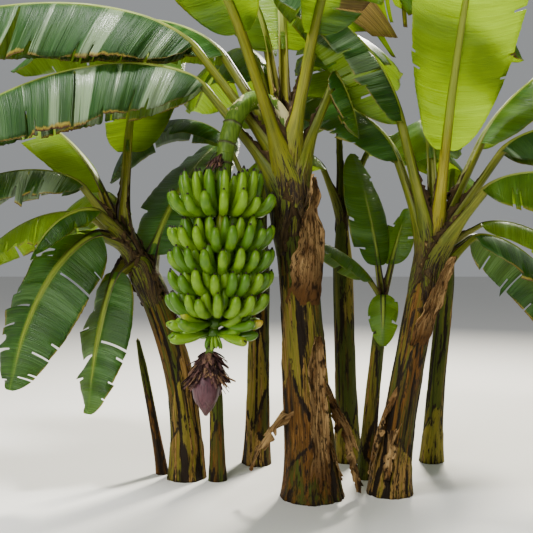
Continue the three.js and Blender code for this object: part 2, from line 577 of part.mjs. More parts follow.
let fruitGrown = stalkGrown;
HANDS.forEach((hand, i) => {
  const solid = handSolid(hand, i, stalkAt(hand.height)).subtract(fruitGrown);
  place(`hand_${i + 1}`, "fruit", solid);
  fruitGrown = fruitGrown.add(solid);
});
place("flower_bud", "bud", budSolid(stalkAt(BUD_TOP)).subtract(stalkGrown));
const budGrown = budSolid(stalkAt(BUD_TOP), GAP);
const spent = spentSolid(stalkAt(SPENT_TOP), stalkAt(SPENT_BOTTOM));
place("spent_flowers", "dry", spent.subtract(fruitGrown).subtract(budGrown));

// What a leaf has to stay clear of: the stems, the fruit stalk and the leaves already there.
const obstacles = [...stemsGrown, stalkGrown];

function placeLeaf(name, finish, leaf, parts) {
  place(name, finish, clearOf(leafSolid(leaf, 0, parts), obstacles));
  obstacles.push(leafSolid(leaf, GAP, parts));
}

for (const leaf of LEAVES)
  if (leaf.hang === undefined) placeLeaf(leaf.name, "leaf", leaf);
  else {
    placeLeaf(`${leaf.name}_petiole`, "leaf", leaf, ["petiole"]);
    placeLeaf(`${leaf.name}_blade`, "leaf", leaf, ["blade"]);
  }

for (const [name, leaves] of Object.entries(CROWNS)) {
  const at = STEMS[name].height + CROWN_LIFT;
  const crownSolid = (extra) =>
    join(leaves.map((leaf) => leafSolid({ ...leaf, stem: name, at, thick: CROWN_THICKNESS }, extra)));
  place(`leaves_${name}`, "leaf", clearOf(crownSolid(0), obstacles));
  obstacles.push(crownSolid(GAP));
}

for (const flap of FLAPS) {
  const solid = clearOf(flapSolid(flap), obstacles);
  place(flap.name, "dry", solid);
  obstacles.push(solid);
}

for (const leaf of DRY_LEAVES) placeLeaf(leaf.name, "dry", leaf);

export default plant;
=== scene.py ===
# %% [markdown]
# # A banana plant in fruit
#
# A banana plant is a clump of false stems from one root stock. Each stem is a roll of leaf sheaths,
# and each leaf is a huge thin blade on a thick rib that wind tears into strips. The tallest stem
# carries a bunch of green fruit that ends in a purple bud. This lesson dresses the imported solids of
# such a clump: thin pleated blades, wrapped stems, ridged fruit and dry, peeling sheaths.

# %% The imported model
import math

import bpy
import numpy as np
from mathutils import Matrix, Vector


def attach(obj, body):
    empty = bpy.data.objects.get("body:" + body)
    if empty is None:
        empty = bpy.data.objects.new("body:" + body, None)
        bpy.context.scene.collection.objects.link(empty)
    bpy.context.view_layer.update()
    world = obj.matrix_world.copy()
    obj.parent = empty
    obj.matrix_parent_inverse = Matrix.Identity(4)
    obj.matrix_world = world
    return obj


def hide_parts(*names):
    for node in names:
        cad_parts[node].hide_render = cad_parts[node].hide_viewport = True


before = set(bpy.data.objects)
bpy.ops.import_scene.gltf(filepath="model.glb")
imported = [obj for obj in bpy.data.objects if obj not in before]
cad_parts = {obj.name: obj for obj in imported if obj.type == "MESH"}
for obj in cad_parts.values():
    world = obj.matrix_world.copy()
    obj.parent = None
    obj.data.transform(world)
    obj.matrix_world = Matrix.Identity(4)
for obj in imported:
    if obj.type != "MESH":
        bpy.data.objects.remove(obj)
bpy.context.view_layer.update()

# %% [markdown]
# ## Camera
#
# The plant was photographed from in front, at the height of the fruit. A view this close needs a
# longish lens, and a very small tilt keeps the stems as upright as they look.

# %% Camera
EYE = (-0.214, -3.6, 1.139)
LOOK_DOWN = 1.2  # degrees
LENS = 52.75  # on a sensor 36 mm wide

bpy.ops.object.select_all(action="DESELECT")
bpy.ops.object.camera_add(location=EYE, rotation=(math.radians(90 - LOOK_DOWN), 0, 0))
camera = bpy.context.object
camera.data.lens = LENS
bpy.context.scene.camera = camera
print("camera at", EYE, "with a lens of", LENS, "mm")

# %% [markdown]
# ## Light and floor
#
# One hard sun would leave half of the leaves black. Soft studio lamps show all of them: a strong one
# behind and above makes the thin blades glow as sunlit leaves do, one on top draws the shine on the
# long arching leaves, and a large one in front fills the bunch and the stems.


# %% Lamps
def lamp(name, place, target, size, watts, colour):
    """A square soft lamp at a place, turned to a target."""
    aim = (Vector(target) - Vector(place)).to_track_quat("-Z", "Y").to_euler()
    bpy.ops.object.light_add(type="AREA", location=place, rotation=aim)
    light = bpy.context.object
    light.name = name
    light.data.size = size
    light.data.energy = watts
    light.data.color = colour
    print(name, "of", watts, "W at", place)


lamp("back lamp", (1.6, 4.2, 5.2), (-0.1, 0, 1.9), 0.9, 1150, (1.0, 0.95, 0.82))
lamp("top lamp", (-1.5, -0.9, 5.4), (-0.8, 0, 1.6), 0.9, 420, (1.0, 0.99, 0.96))
lamp("front lamp", (-2.6, -4.6, 3.2), (-0.2, 0, 1.0), 2.6, 260, (1.0, 0.98, 0.95))

# %% Floor and room light
FLOOR_SIZE = 60
ROOM_COLOUR = (0.9, 0.93, 0.95, 1)
ROOM_STRENGTH = 0.34

bpy.ops.mesh.primitive_plane_add(size=FLOOR_SIZE)
floor = bpy.context.object
floor.name = "floor"

world = bpy.data.worlds.new("studio")
world.use_nodes = True
room = world.node_tree.nodes["Background"]
room.inputs["Color"].default_value = ROOM_COLOUR
room.inputs["Strength"].default_value = ROOM_STRENGTH
bpy.context.scene.world = world
print("floor of", FLOOR_SIZE, "m under a room light of", ROOM_STRENGTH)

# %% [markdown]
# ## Shader maths as sums
#
# A finish is easier to read as an expression than as a web of nodes. `Wire` stands for one output of
# a node. Adding or multiplying wires adds Math nodes, and `node` adds any other node. The methods
# under it are the few sums that every finish here is built from.


# %% Wire
class Wire:
    """One output of a shader node in a material's tree."""

    def __init__(self, tree, socket=None):
        self.tree = tree
        self.socket = socket

    def node(self, kind, settings=None, inputs=None, output=0):
        """Adds a node: its settings first, then the values or wires of its sockets."""
        made = self.tree.nodes.new("ShaderNode" + kind)
        for name, value in (settings or {}).items():
            setattr(made, name, value)
        for name, value in (inputs or {}).items():
            if isinstance(value, Wire):
                self.tree.links.new(value.socket, made.inputs[name])
            else:
                made.inputs[name].default_value = value
        return Wire(self.tree, made.outputs[output])

    def math(self, operation, a, b):
        return self.node("Math", {"operation": operation}, {0: a, 1: b})

    def __add__(self, other):
        return self.math("ADD", self, other)

    def __radd__(self, other):
        return self.math("ADD", other, self)

    def __sub__(self, other):
        return self.math("SUBTRACT", self, other)

    def __rsub__(self, other):
        return self.math("SUBTRACT", other, self)

    def __mul__(self, other):
        return self.math("MULTIPLY", self, other)

    def __rmul__(self, other):
        return self.math("MULTIPLY", other, self)

    def __or__(self, other):
        """The larger of the two, which lays one mask over another."""
        return self.math("MAXIMUM", self, other)

    def attribute(self, name):
        return self.node("Attribute", {"attribute_name": name}, output="Vector")

    def split(self):
        """The three parts of a vector."""
        separate = self.node("SeparateXYZ", None, {0: self}).socket.node
        return [Wire(self.tree, output) for output in separate.outputs]

    def scaled(self, factors):
        return self.node("VectorMath", {"operation": "MULTIPLY"}, {0: self, 1: factors})

    def noise(self, factors, detail=3, roughness=0.5):
        """Noise from nought to one on a vector that is scaled first."""
        inputs = {"Vector": self.scaled(factors), "Scale": 1, "Detail": detail, "Roughness": roughness}
        return self.node("TexNoise", None, inputs)

    def rise(self, low, high):
        """A smooth step from nought at low to one at high."""
        inputs = {"Value": self, "From Min": low, "From Max": high}
        return self.node("MapRange", {"interpolation_type": "SMOOTHSTEP"}, inputs)

    def tint(self, under, over):
        """The colour under, turned to the colour over where this wire is one."""
        colours = [c if isinstance(c, Wire) else (*c, 1) for c in (under, over)]
        inputs = {0: self, 6: colours[0], 7: colours[1]}
        return self.node("Mix", {"data_type": "RGBA"}, inputs, 2)

    def bump(self, distance, strength):
        inputs = {"Height": self, "Distance": distance, "Strength": strength}
        return self.node("Bump", None, inputs)


# %% A finish from start to end
def finish(name):
    """A new material, and a wire in its empty tree."""
    material = bpy.data.materials.new(name)
    material.use_nodes = True
    material.node_tree.nodes.clear()
    return material, Wire(material.node_tree)


def plain(wire, colour, roughness, normal, shine):
    """A Principled shader. Its shine says how much light the surface throws straight back."""
    return wire.node("BsdfPrincipled", None, {
        "Base Color": colour, "Roughness": roughness, "Normal": normal, "Specular IOR Level": shine,
    })


def surface(material, wire, shader):
    """Ends a finish with its shader."""
    output = wire.tree.nodes.new("ShaderNodeOutputMaterial")
    wire.tree.links.new(shader.socket, output.inputs["Surface"])
    print("finish:", material.name, "of", len(wire.tree.nodes), "nodes")


# %% Floor finish
floor_finish, wire = finish("pale floor")
floor_shader = wire.node("BsdfPrincipled", None, {"Base Color": (0.72, 0.71, 0.68, 1), "Roughness": 0.9})
surface(floor_finish, wire, floor_shader)
floor.data.materials.append(floor_finish)

# %% [markdown]
# ## Blade finish
#
# A banana blade is dark and waxy above and paler below, with hundreds of fine veins that run from
# the rib to the edge. Light from behind comes through yellow-green, so each side mixes a
# Translucent shader into its Principled one. Every mesh carries three attributes: `spot` is a place
# on the leaf in metres, `share` says how far towards the edge and the tip it lies, and `tone` holds
# how yellow, how burnt and how dull the leaf is. A dull value below nought means a leaf with painted
# sheen in silver bands, as the long arching ones have.

# %% Blade colours
GLOW = (0.55, 0.7, 0.0, 1)
# Painted sheen in pale bands on every blade
PAINTED_SHEEN = (0.17, 0.27, 0.13)
# Painted silver sheen in bands on the long leaves
PAINTED_SILVER_SHEEN = (0.4, 0.5, 0.33)
RIB_SIDE = (0.14, 0.24, 0.03)
GOLDEN_RIM = (0.42, 0.3, 0.04)
BURNT_RIM = (0.07, 0.03, 0.012)
WITHERED = ((0.07, 0.032, 0.012), (0.34, 0.22, 0.05))
BLADE_SHINE = 0.25


# %% Blade
def blade_finish(name, dark, light, yellow, roughness, through):
    """One side of a blade: its two greens, its yellow, its gloss and the light it lets through."""
    material, wire = finish(name)
    spot = wire.attribute("spot")
    across = wire.attribute("share").split()[0]
    yellowing, burnt, dull = wire.attribute("tone").split()
    silver = (0 - dull).rise(0.1, 1)
    shade = dull.rise(0, 1)
    veins = spot.noise((5, 210, 11), 2)
    bands = spot.noise((2.2, 17, 5), 3)
    clouds = spot.noise((5, 5, 3), 3)

    # The greens, in bands along the veins, with a yellow cast and a painted sheen in pale bands.
    colour = (bands * 0.7 + veins * 0.5 - 0.1).rise(0.25, 0.75).tint(dark, light)
    colour = ((clouds - 0.5) * 0.6 + yellowing).rise(0.1, 0.9).tint(colour, yellow)
    colour = ((bands * 0.8 + veins * 0.4).rise(0.58, 0.8) * 0.3).tint(colour, PAINTED_SHEEN)

    # Painted silver sheen in bands on the long leaves, whose green is darker under it, and a paler strip
    # beside the rib.
    sheen_bands = (spot.noise((1.2, 8, 5), 2) + (veins - 0.5) * 0.25).rise(0.53, 0.6) * silver
    colour = (silver * 0.6).tint(colour, dark)
    colour = (sheen_bands * 0.42).tint(colour, PAINTED_SILVER_SHEEN)
    colour = ((1 - across.rise(0.0, 0.16)) * 0.4).tint(colour, RIB_SIDE)

    # The rim turns golden, then brown, and a withered strip is brown all over.
    rim = across + (clouds - 0.5) * 0.1 + (veins - 0.5) * 0.05
    golden = (rim + (clouds - 0.5) * 0.16).rise(0.96, 0.99) * burnt
    brown = (rim + burnt * 0.02).rise(0.985, 1.02) * burnt.rise(0.3, 0.7)
    dead = burnt.rise(1.3, 1.6)
    colour = golden.tint(colour, GOLDEN_RIM)
    colour = brown.tint(colour, BURNT_RIM)
    colour = dead.tint(colour, (veins * 0.6 + clouds * 0.5).rise(0.4, 0.7).tint(*WITHERED))

    gloss = roughness + (bands - 0.5) * 0.12 + shade * 0.15 + dead * 0.3 + silver * (0.2 - sheen_bands * 0.26)
    normal = (veins * 0.8 + bands * 0.4).bump(0.008, 0.8)
    glow = wire.node("BsdfTranslucent", None, {"Color": GLOW, "Normal": normal})
    lit = through + yellowing * 0.3 + (veins - 0.5) * 0.35 + (clouds - 0.5) * 0.25
    lit = lit * (1 - brown) * (1 - dead * 0.6) * (1 - shade * 0.8) * (1 - silver * 0.5)
    solid = plain(wire, colour, gloss, normal, BLADE_SHINE)
    surface(material, wire, wire.node("MixShader", None, {0: lit, 1: solid, 2: glow}))
    return material


blade_top = blade_finish(
    "blade upper side", (0.006, 0.034, 0.004), (0.024, 0.1, 0.007), (0.19, 0.29, 0.008), 0.3, 0.42
)
blade_under = blade_finish(
    "blade under side", (0.016, 0.06, 0.007), (0.05, 0.14, 0.014), (0.24, 0.33, 0.012), 0.46, 0.48
)

# %% [markdown]
# ## Stalk finish
#
# A leaf stalk is yellow-olive with fine fibres along it. Near the stem its skin is worn and split,
# and its two long edges are black and dry. Here `share` runs from edge to edge of the stalk and
# along it, and `run`, the metres from the stem, says where the wear may start.

# %% Rib and leaf stalk
STALK_OLIVE = ((0.045, 0.068, 0.003), (0.135, 0.158, 0.007))
STALK_YELLOW = (0.29, 0.235, 0.009)
RIB_PALE = (0.21, 0.27, 0.025)
STALK_BLOOM = (0.3, 0.37, 0.17)
STALK_TAN = ((0.022, 0.013, 0.004), (0.14, 0.088, 0.018))
STALK_BLACK = (0.014, 0.007, 0.004)

rib_finish, wire = finish("rib and leaf stalk")
spot = wire.attribute("spot")
run = spot.split()[1]
around, place, _ = wire.attribute("share").split()
yellowing = wire.attribute("tone").split()[0]
fibres = spot.noise((160, 5, 3), 3)
cracks = spot.noise((330, 9, 4), 4, 0.65)
blotches = spot.noise((26, 7, 3), 4, 0.6)

colour = fibres.rise(0.3, 0.7).tint(*STALK_OLIVE)
yellow = (yellowing * 0.4 + 0.24 + (blotches - 0.5) * 0.6).rise(0.1, 0.9)
colour = yellow.tint(colour, STALK_YELLOW)
colour = (place.rise(0.95, 1.5) * 0.75).tint(colour, RIB_PALE)
colour = (blotches.rise(0.5, 0.8) * place.rise(0.1, 0.6) * 0.1).tint(colour, STALK_BLOOM)

low = 1 - run.rise(-0.12, 0.26)
worn = (blotches * 0.6 + fibres * 0.5 + low * 0.16 + around * around * 0.1).rise(0.67, 0.76) * low
colour = worn.tint(colour, cracks.rise(0.35, 0.65).tint(*STALK_TAN))
split = (cracks + low * 0.13).rise(0.61, 0.66) * low.rise(0, 0.5)
margin = (around * around + (fibres - 0.5) * 0.5).rise(0.74, 0.96) * (1 - run.rise(0.1, 0.5))
colour = (split | margin).tint(colour, STALK_BLACK)

normal = (fibres + worn + low * cracks).bump(0.005, 0.8)
surface(rib_finish, wire, plain(wire, colour, 0.42 + blotches * 0.15 + low * 0.25, normal, 0.25))

# %% [markdown]
# ## Dry finishes
#
# Two dry things hang on the plant. The papery margins of the stalks are nearly black with a few tan
# blotches. Old leaves and sheaths are tan with long brown streaks, darker at their foot and specked
# with black mould, and a little light still comes through them.

# %% Dry margin
MARGIN_BROWN = ((0.01, 0.006, 0.003), (0.055, 0.034, 0.012))
MARGIN_TAN = (0.24, 0.16, 0.06)
PAPER_SHINE = 0.12

margin_finish, wire = finish("dry margin")
spot = wire.attribute("spot")
fibres = spot.noise((160, 26, 9), 4, 0.6)
blotches = spot.noise((30, 17, 5), 3, 0.6)
colour = (fibres * 0.6 + blotches * 0.6).rise(0.4, 0.75).tint(*MARGIN_BROWN)
colour = blotches.rise(0.62, 0.7).tint(colour, MARGIN_TAN)
surface(margin_finish, wire, plain(wire, colour, 0.85, fibres.bump(0.003, 0.8), PAPER_SHINE))

# %% Dry leaf and sheath
SHEATH_TAN = ((0.06, 0.028, 0.009), (0.42, 0.265, 0.105))
SHEATH_BROWN = (0.12, 0.055, 0.015)
SHEATH_FOOT = (0.085, 0.038, 0.01)
MOULD = (0.014, 0.008, 0.004)

dry_finish, wire = finish("dry leaf and sheath")
spot = wire.attribute("spot")
place = wire.attribute("share").split()[1]
fibres = spot.noise((130, 6, 4), 4, 0.6)
cross = spot.noise((14, 10, 5), 4, 0.6)
specks = spot.noise((60, 26, 5), 4, 0.65)
colour = fibres.rise(0.34, 0.66).tint(*SHEATH_TAN)
colour = cross.rise(0.44, 0.66).tint(colour, SHEATH_BROWN)
colour = (1 - (place + (cross - 0.5) * 0.3).rise(0.06, 0.36)).tint(colour, SHEATH_FOOT)
colour = (cross * 0.35 + fibres * 0.25 + specks * 0.6).rise(0.605, 0.66).tint(colour, MOULD)
solid = plain(wire, colour, 0.82, (fibres + cross * 0.5).bump(0.004, 0.8), 0.1)
glow = wire.node("BsdfTranslucent", None, {"Color": (0.5, 0.32, 0.12, 1)})
surface(dry_finish, wire, wire.node("MixShader", None, {0: 0.12, 1: solid, 2: glow}))

# %% [markdown]
# ## Meshes from rows of points
#
# A stem, a stalk and a blade are all a flat grid that is bent to its shape, and a tube is a grid
# rolled up and joined at its seam. `skin` adds the grid primitive, sets its corners to rows of
# points worked out in millimetres, and closes it where it is a tube. The other helpers select in
# edit mode, delete the faces of a tear, give a sheet its wall and join the parts of a piece.


# %% Skin
def mark(piece, **layers):
    """Stores three numbers for each point, such as its place on the leaf, as attributes."""
    for key, values in layers.items():
        layer = piece.data.attributes.new(key, "FLOAT_VECTOR", "POINT")
        layer.data.foreach_set("vector", values.astype(np.float32).ravel())


def skin(name, rows, marks, rolled=False):
    """A grid with one corner for each point of rows, and the marks as attributes."""
    if rolled:
        rows = np.concatenate([rows, rows[:, :1]], axis=1)
        marks = {key: np.concatenate([v, v[:, :1]], axis=1) for key, v in marks.items()}
    count, sides = rows.shape[:2]
    bpy.ops.object.select_all(action="DESELECT")
    bpy.ops.mesh.primitive_grid_add(x_subdivisions=sides - 1, y_subdivisions=count - 1, size=1)
    piece = bpy.context.object
    piece.name = name
    piece.data.name = name
    piece.data.vertices.foreach_set("co", (rows * 0.001).astype(np.float32).ravel())
    mark(piece, **marks)
    if rolled:
        tidy(piece)
    return piece


def tidy(piece):
    """Merges points that meet and turns all faces outwards."""
    bpy.ops.object.select_all(action="DESELECT")
    piece.select_set(True)
    bpy.context.view_layer.objects.active = piece
    bpy.ops.object.mode_set(mode="EDIT")
    bpy.ops.mesh.select_all(action="SELECT")
    bpy.ops.mesh.remove_doubles(threshold=0.00002)
    bpy.ops.mesh.normals_make_consistent(inside=False)
    bpy.ops.object.mode_set(mode="OBJECT")


# %% Cutting and thickening
def cut(piece, doomed):
    """Deletes the faces of a grid that are marked."""
    bpy.ops.object.mode_set(mode="EDIT")
    bpy.ops.mesh.select_mode(type="FACE")
    bpy.ops.mesh.select_all(action="DESELECT")
    bpy.ops.object.mode_set(mode="OBJECT")
    piece.data.polygons.foreach_set("select", doomed.ravel())
    bpy.ops.object.mode_set(mode="EDIT")
    bpy.ops.mesh.delete(type="FACE")
    bpy.ops.object.mode_set(mode="OBJECT")


def thicken(piece, millimetres):
    """Gives a sheet its thickness. Its under side takes the next material slot."""
    wall = piece.modifiers.new("wall", "SOLIDIFY")
    wall.thickness = millimetres * 0.001
    wall.offset = 0
    wall.material_offset = 1
    bpy.context.view_layer.objects.active = piece
    bpy.ops.object.modifier_apply(modifier=wall.name)


# %% Joining and settling
def join(pieces):
    """Joins pieces into the first one and smooths its shading."""
    bpy.ops.object.select_all(action="DESELECT")
    for piece in pieces:
        piece.select_set(True)
    bpy.context.view_layer.objects.active = pieces[0]
    if len(pieces) > 1:
        bpy.ops.object.join()
    bpy.ops.object.shade_smooth()
    return pieces[0]


def triangles(piece):
    return sum(len(polygon.vertices) - 2 for polygon in piece.data.polygons)


def settle(piece, slot, node):
    """Names a finished piece after the solid it stands for, and says what carries it."""
    piece.name = node + "_look"
    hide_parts(node)
    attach(piece, "root")
    print(piece.name, "of", triangles(piece), "triangles")


# %% [markdown]
# ## Small sums
#
# The shapes below are worked out with arrays of numbers, one row or column for each line of points.
# A few short sums turn up again and again: steps and blends, curves and places along a line, and
# soft noise, which is seeded, so that the plant grows the same way each time.


# %% Sums
def smooth(low, high, value):
    """A smooth step from nought at low to one at high."""
    t = np.clip((value - low) / (high - low), 0, 1)
    return t * t * (3 - 2 * t)


def lerp(a, b, t):
    """The value between a and b at the share t."""
    return a + (b - a) * t


def vectors(x, y, z):
    """Three arrays as one, which has a last axis of three."""
    return np.stack(np.broadcast_arrays(x, y, z), axis=-1)


def unit(values):
    """Vectors of the same directions, one unit long."""
    return values / np.linalg.norm(values, axis=-1)[..., None]


def bow(start, control, end, t):
    """Points on the curve that leaves start towards control and comes to end from there."""
    return (1 - t) ** 2 * start + 2 * t * (1 - t) * control + t * t * end


def read_off(wanted, known, values):
    """Points that are given at known places along a line, read off at the wanted places."""
    return np.stack([np.interp(wanted, known, values[:, i]) for i in range(3)], axis=-1)


def ripple(values, spacing, rng):
    """Soft noise between -1 and 1 along a line, with a bend every spacing."""
    knots = rng.uniform(-1, 1, int(np.ptp(values) / spacing) + 3)
    exact = (values - values.min()) / spacing
    low = exact.astype(int)
    return lerp(knots[low], knots[low + 1], smooth(0, 1, exact - low))


def weave(angle, height, cells, tall, rng):
    """Soft noise between -1 and 1 round a stem, in cells as tall as given."""
    grid = rng.uniform(-1, 1, (int(np.ptp(height) / tall) + 3, cells))
    across = angle / (2 * math.pi) * cells
    up = (height - height.min()) / tall
    column, row = across.astype(int), up.astype(int)
    a, b = smooth(0, 1, across - column), smooth(0, 1, up - row)
    column, after = column % cells, (column + 1) % cells
    low = lerp(grid[row, column], grid[row, after], a)
    high = lerp(grid[row + 1, column], grid[row + 1, after], a)
    return lerp(low, high, b)


print("halfway up a smooth step:", smooth(0, 1, 0.5))

# %% [markdown]
# ## The stems
#
# A false stem is a roll of sheaths, each the foot of one leaf. Its middle leans and bows, and its
# radius narrows from a flared foot over a long waist to the neck. These sums are the source's own,
# so the finished stem stays inside its solid, and the leaves find their place on it.

# %% Stem rule
FLARE_HEIGHT = 150
NECK_SHARE = 0.22
STEMS = {
    "main": dict(foot=(0, 0), lean=(-128, 10), bow=1.25, height=1700, radii=(140, 102, 56)),
    "right": dict(foot=(368, 50), lean=(222, 0), bow=1.25, height=1290, radii=(102, 76, 46)),
    "left": dict(foot=(-612, 300), lean=(-370, 20), bow=2.3, height=1290, radii=(96, 73, 44)),
    "back_left": dict(foot=(-265, 560), lean=(20, 60), bow=1, height=1330, radii=(78, 58, 38)),
    "back_right": dict(foot=(225, 610), lean=(-30, 50), bow=1, height=1330, radii=(78, 58, 38)),
    "right_rear": dict(foot=(675, 600), lean=(120, 90), bow=1.2, height=1180, radii=(66, 48, 32)),
    "sucker": dict(foot=(285, 290), lean=(80, 0), bow=1.2, height=880, radii=(52, 36, 22)),
    "dead_left": dict(foot=(-745, 360), lean=(-130, 30), bow=1.1, height=690, radii=(32, 21, 12)),
    "stub": dict(foot=(-455, 250), lean=(-10, 10), bow=1, height=520, radii=(46, 34, 20)),
}


def stem_axis(stem, height):
    """The middle of a stem at each height."""
    share = (np.maximum(height, 0) / stem["height"]) ** stem["bow"]
    (x, y), (lean_x, lean_y) = stem["foot"], stem["lean"]
    return vectors(x + lean_x * share, y + lean_y * share, height)


def stem_radius(stem, height):
    foot, waist, neck = stem["radii"]
    narrowing = smooth(stem["height"] * (1 - NECK_SHARE), stem["height"], height)
    return lerp(waist, neck, narrowing) + (foot - waist) * np.exp(-height / FLARE_HEIGHT)


print("the main stem leans", STEMS["main"]["lean"][0], "mm over", STEMS["main"]["height"], "mm")

# %% [markdown]
# ## Stem finish
#
# Living sheaths are olive, dead ones brown with tan fibres, and black mould sits in the gaps and
# along every torn edge. Painted shade darkens each stem near the ground in the same colour. The
# pattern reads `bark`, the stem unrolled to a straight upright cylinder, so the streaks run along a
# leaning stem. `layer` says how dead a sheath is, how near its edge lies or how near the painted
# shade at the foot, and gives each sheath a number of its own.

# %% Stem finish
SHEATH_OLIVE = ((0.045, 0.06, 0.006), (0.17, 0.145, 0.014))
DEAD_BROWN = ((0.032, 0.014, 0.003), (0.13, 0.056, 0.009))
DEAD_TAN = (0.3, 0.175, 0.05)
STEM_MOULD = (0.014, 0.009, 0.005)
CRACK = (0.018, 0.011, 0.006)

stem_finish, wire = finish("stem sheaths")
bark = wire.attribute("bark")
age, edge, chance = wire.attribute("layer").split()
streaks = bark.noise((60, 60, 2.2), 4, 0.62)
fibres = bark.noise((240, 240, 6), 3, 0.6)
patches = bark.noise((13, 13, 1.3), 4, 0.6)
spots = bark.noise((62, 62, 15), 4, 0.65)
lines = bark.noise((95, 95, 3.2), 3, 0.6)

colour = (patches + (chance - 0.5) * 0.5 + (fibres - 0.5) * 0.4).rise(0.35, 0.7).tint(*SHEATH_OLIVE)
brown = (streaks * 0.6 + fibres * 0.4).rise(0.38, 0.6).tint(*DEAD_BROWN)
brown = (chance * 0.6 + streaks * 0.8 + (fibres - 0.5) * 0.9).rise(0.78, 1.1).tint(brown, DEAD_TAN)
dead = age + (patches - 0.5) * 1.2 + (streaks - 0.5) * 1.0 + (fibres - 0.5) * 0.6
colour = dead.rise(0.36, 0.74).tint(colour, brown)
# Black mould, and through the edge mark also the painted shade at the stem's foot
dark = (streaks * 0.45 + spots * 0.75 + age * 0.06 + edge * 0.26).rise(0.675, 0.775)
colour = dark.tint(colour, STEM_MOULD)
split = (lines + (age + edge) * 0.05).rise(0.6, 0.68)
colour = (split * 0.8).tint(colour, CRACK)
normal = (streaks * 0.5 + fibres * 0.4 + spots * 0.4 - split * 0.6).bump(0.009, 1.0)
surface(stem_finish, wire, plain(wire, colour, 0.55 + streaks * 0.3, normal, PAPER_SHINE))

# %% [markdown]
# ## Stem meshes
#
# The outer sheaths are the oldest: they stop lower, dry to brown paper and show their long edges.
# So each stem is one rolled grid whose radius takes a small step at every sheath's edge. A sheath
# covers a wide arc at its foot and a narrow one at its torn top, and the next one is turned by 152
# degrees, as the leaves of a banana plant are. Below the crown the bark also cracks into plates.

# %% Sheaths
SHEATH_TURN = 152  # degrees from one sheath to the next
SHEATH_HALF = 132  # degrees that the foot of a sheath covers to each side
SHEATH_STEP = 0.04  # thickness of a sheath, as a share of the stem's radius
LIP_STEP = 0.035


def sheath_layers(stem, sheaths, browning, seed, angle, height, radius, rng):
    """How far the sheaths stand out, how old they are, their edges and a number for each."""
    shape = np.broadcast_shapes(angle.shape, height.shape)
    relief, age = np.full(shape, -0.02 * sheaths), np.full(shape, 0.12)
    edge, chance = np.zeros(shape), np.full(shape, 0.3)
    for order in range(sheaths):
        top = stem["height"] * (1.02 - 0.8 * order / (sheaths - 1)) * rng.uniform(0.92, 1)
        turn = math.radians(order * SHEATH_TURN + seed * 47) + 0.3 * height / 1000
        away = np.abs((angle - turn + math.pi) % (2 * math.pi) - math.pi)
        fray = 70 * ripple(angle * 100, 44, rng) + 16 * ripple(angle * 100, 9, rng)
        reach = math.radians(SHEATH_HALF) * (1 - 0.7 * smooth(top * 0.3, top, height))
        beside = (reach + 0.06 * ripple(height, 45, rng) - away) * radius
        below = top + fray - height
        cover = smooth(0, 5, np.minimum(beside, below * 0.3))
        lip = np.exp(-(below / 14) ** 2) * smooth(0, 12, beside)
        relief += SHEATH_STEP * cover + LIP_STEP * lip
        covered = cover > 0.5
        age = np.where(covered, browning + (rng.uniform(-0.12, 0.22) if order else 0), age)
        chance = np.where(covered, rng.uniform(0, 1), chance)
        side_line = np.exp(-np.abs(beside) / 7) * (height < top)
        edge = np.where(covered | (np.abs(beside) < 14), side_line, edge)
        edge = np.maximum(edge, 0.7 * np.exp(-np.abs(below) / 9) * smooth(-5, 5, beside))
    return relief, age, edge, chance


# %% Cracks and plates
CRACK_TALL = 400
CRACK_DEPTH = 0.045  # as a share of the stem's radius, as every step of the bark is
PLATE_TALL = 420
PLATE_STEP = 0.028
FLAKE_TALL = 110
FLAKE_SHARE = 0.6  # a flake's height beside a plate's


def bark_relief(stem, sides, angle, height, rng):
    """How far the plates stand out and how deep the cracks are, both less so at the crown."""
    old = 1 - 0.75 * smooth(0.5, 0.95, height / stem["height"])
    cracks = smooth(0.35, 0.7, weave(angle, height, sides // 4, CRACK_TALL, rng)) * old
    plates = weave(angle, height, sides // 8, PLATE_TALL, rng)
    plates = plates + FLAKE_SHARE * weave(angle, height, sides // 3, FLAKE_TALL, rng)
    return plates * old, cracks


# %% Stem pieces
TOP_NARROWING = 0.1
SHADED_FOOT = 45  # how high painted shade darkens a stem's foot


def stem_piece(name, stem, sheaths, sides, rows, browning, seed):
    """A whole stem from its flat cut at the ground to its closed top."""
    rng = np.random.default_rng(seed)
    height = np.linspace(0, stem["height"], rows)[:, None]
    angle = np.linspace(0, 2 * math.pi, sides, endpoint=False)[None, :]
    up = height / stem["height"]
    radius = stem_radius(stem, height) * (1 - TOP_NARROWING * smooth(0.7, 1, up))
    relief, age, edge, chance = sheath_layers(stem, sheaths, browning, seed, angle, height, radius, rng)
    age = age - 0.3 * smooth(0.62, 0.9, up)
    plates, cracks = bark_relief(stem, sides, angle, height, rng)
    relief += PLATE_STEP * plates - CRACK_DEPTH * cracks
    # Painted shade: the edge mark also rises towards the ground, so the foot is darkened
    edge = np.maximum(np.maximum(edge, 0.9 * cracks), 0.35 * np.exp(-height / SHADED_FOOT))
    wobble = 0.02 * np.sin(3 * angle + height / 190 + seed) + 0.012 * np.sin(7 * angle - height / 260)
    reach = radius * (1 + relief + wobble)
    reach[-1] = 0
    points = stem_axis(stem, height) + vectors(np.cos(angle), np.sin(angle), 0) * reach[..., None]
    bark = vectors(radius * np.cos(angle), radius * np.sin(angle), height + seed * 777) * 0.001
    piece = skin("stem", points, {"bark": bark, "layer": vectors(age, edge, chance)}, rolled=True)
    close_foot(piece)
    piece.data.materials.append(stem_finish)
    settle(join([piece]), "dry" if name == "dead_left" else "stem", "stem_" + name)


def close_foot(piece):
    """Fills the open ring at the ground with one flat face."""
    bpy.context.view_layer.objects.active = piece
    bpy.ops.object.mode_set(mode="EDIT")
    bpy.ops.mesh.select_all(action="DESELECT")
    bpy.ops.mesh.select_mode(type="VERT")
    bpy.ops.mesh.select_non_manifold()
    bpy.ops.mesh.edge_face_add()
    bpy.ops.object.mode_set(mode="OBJECT")


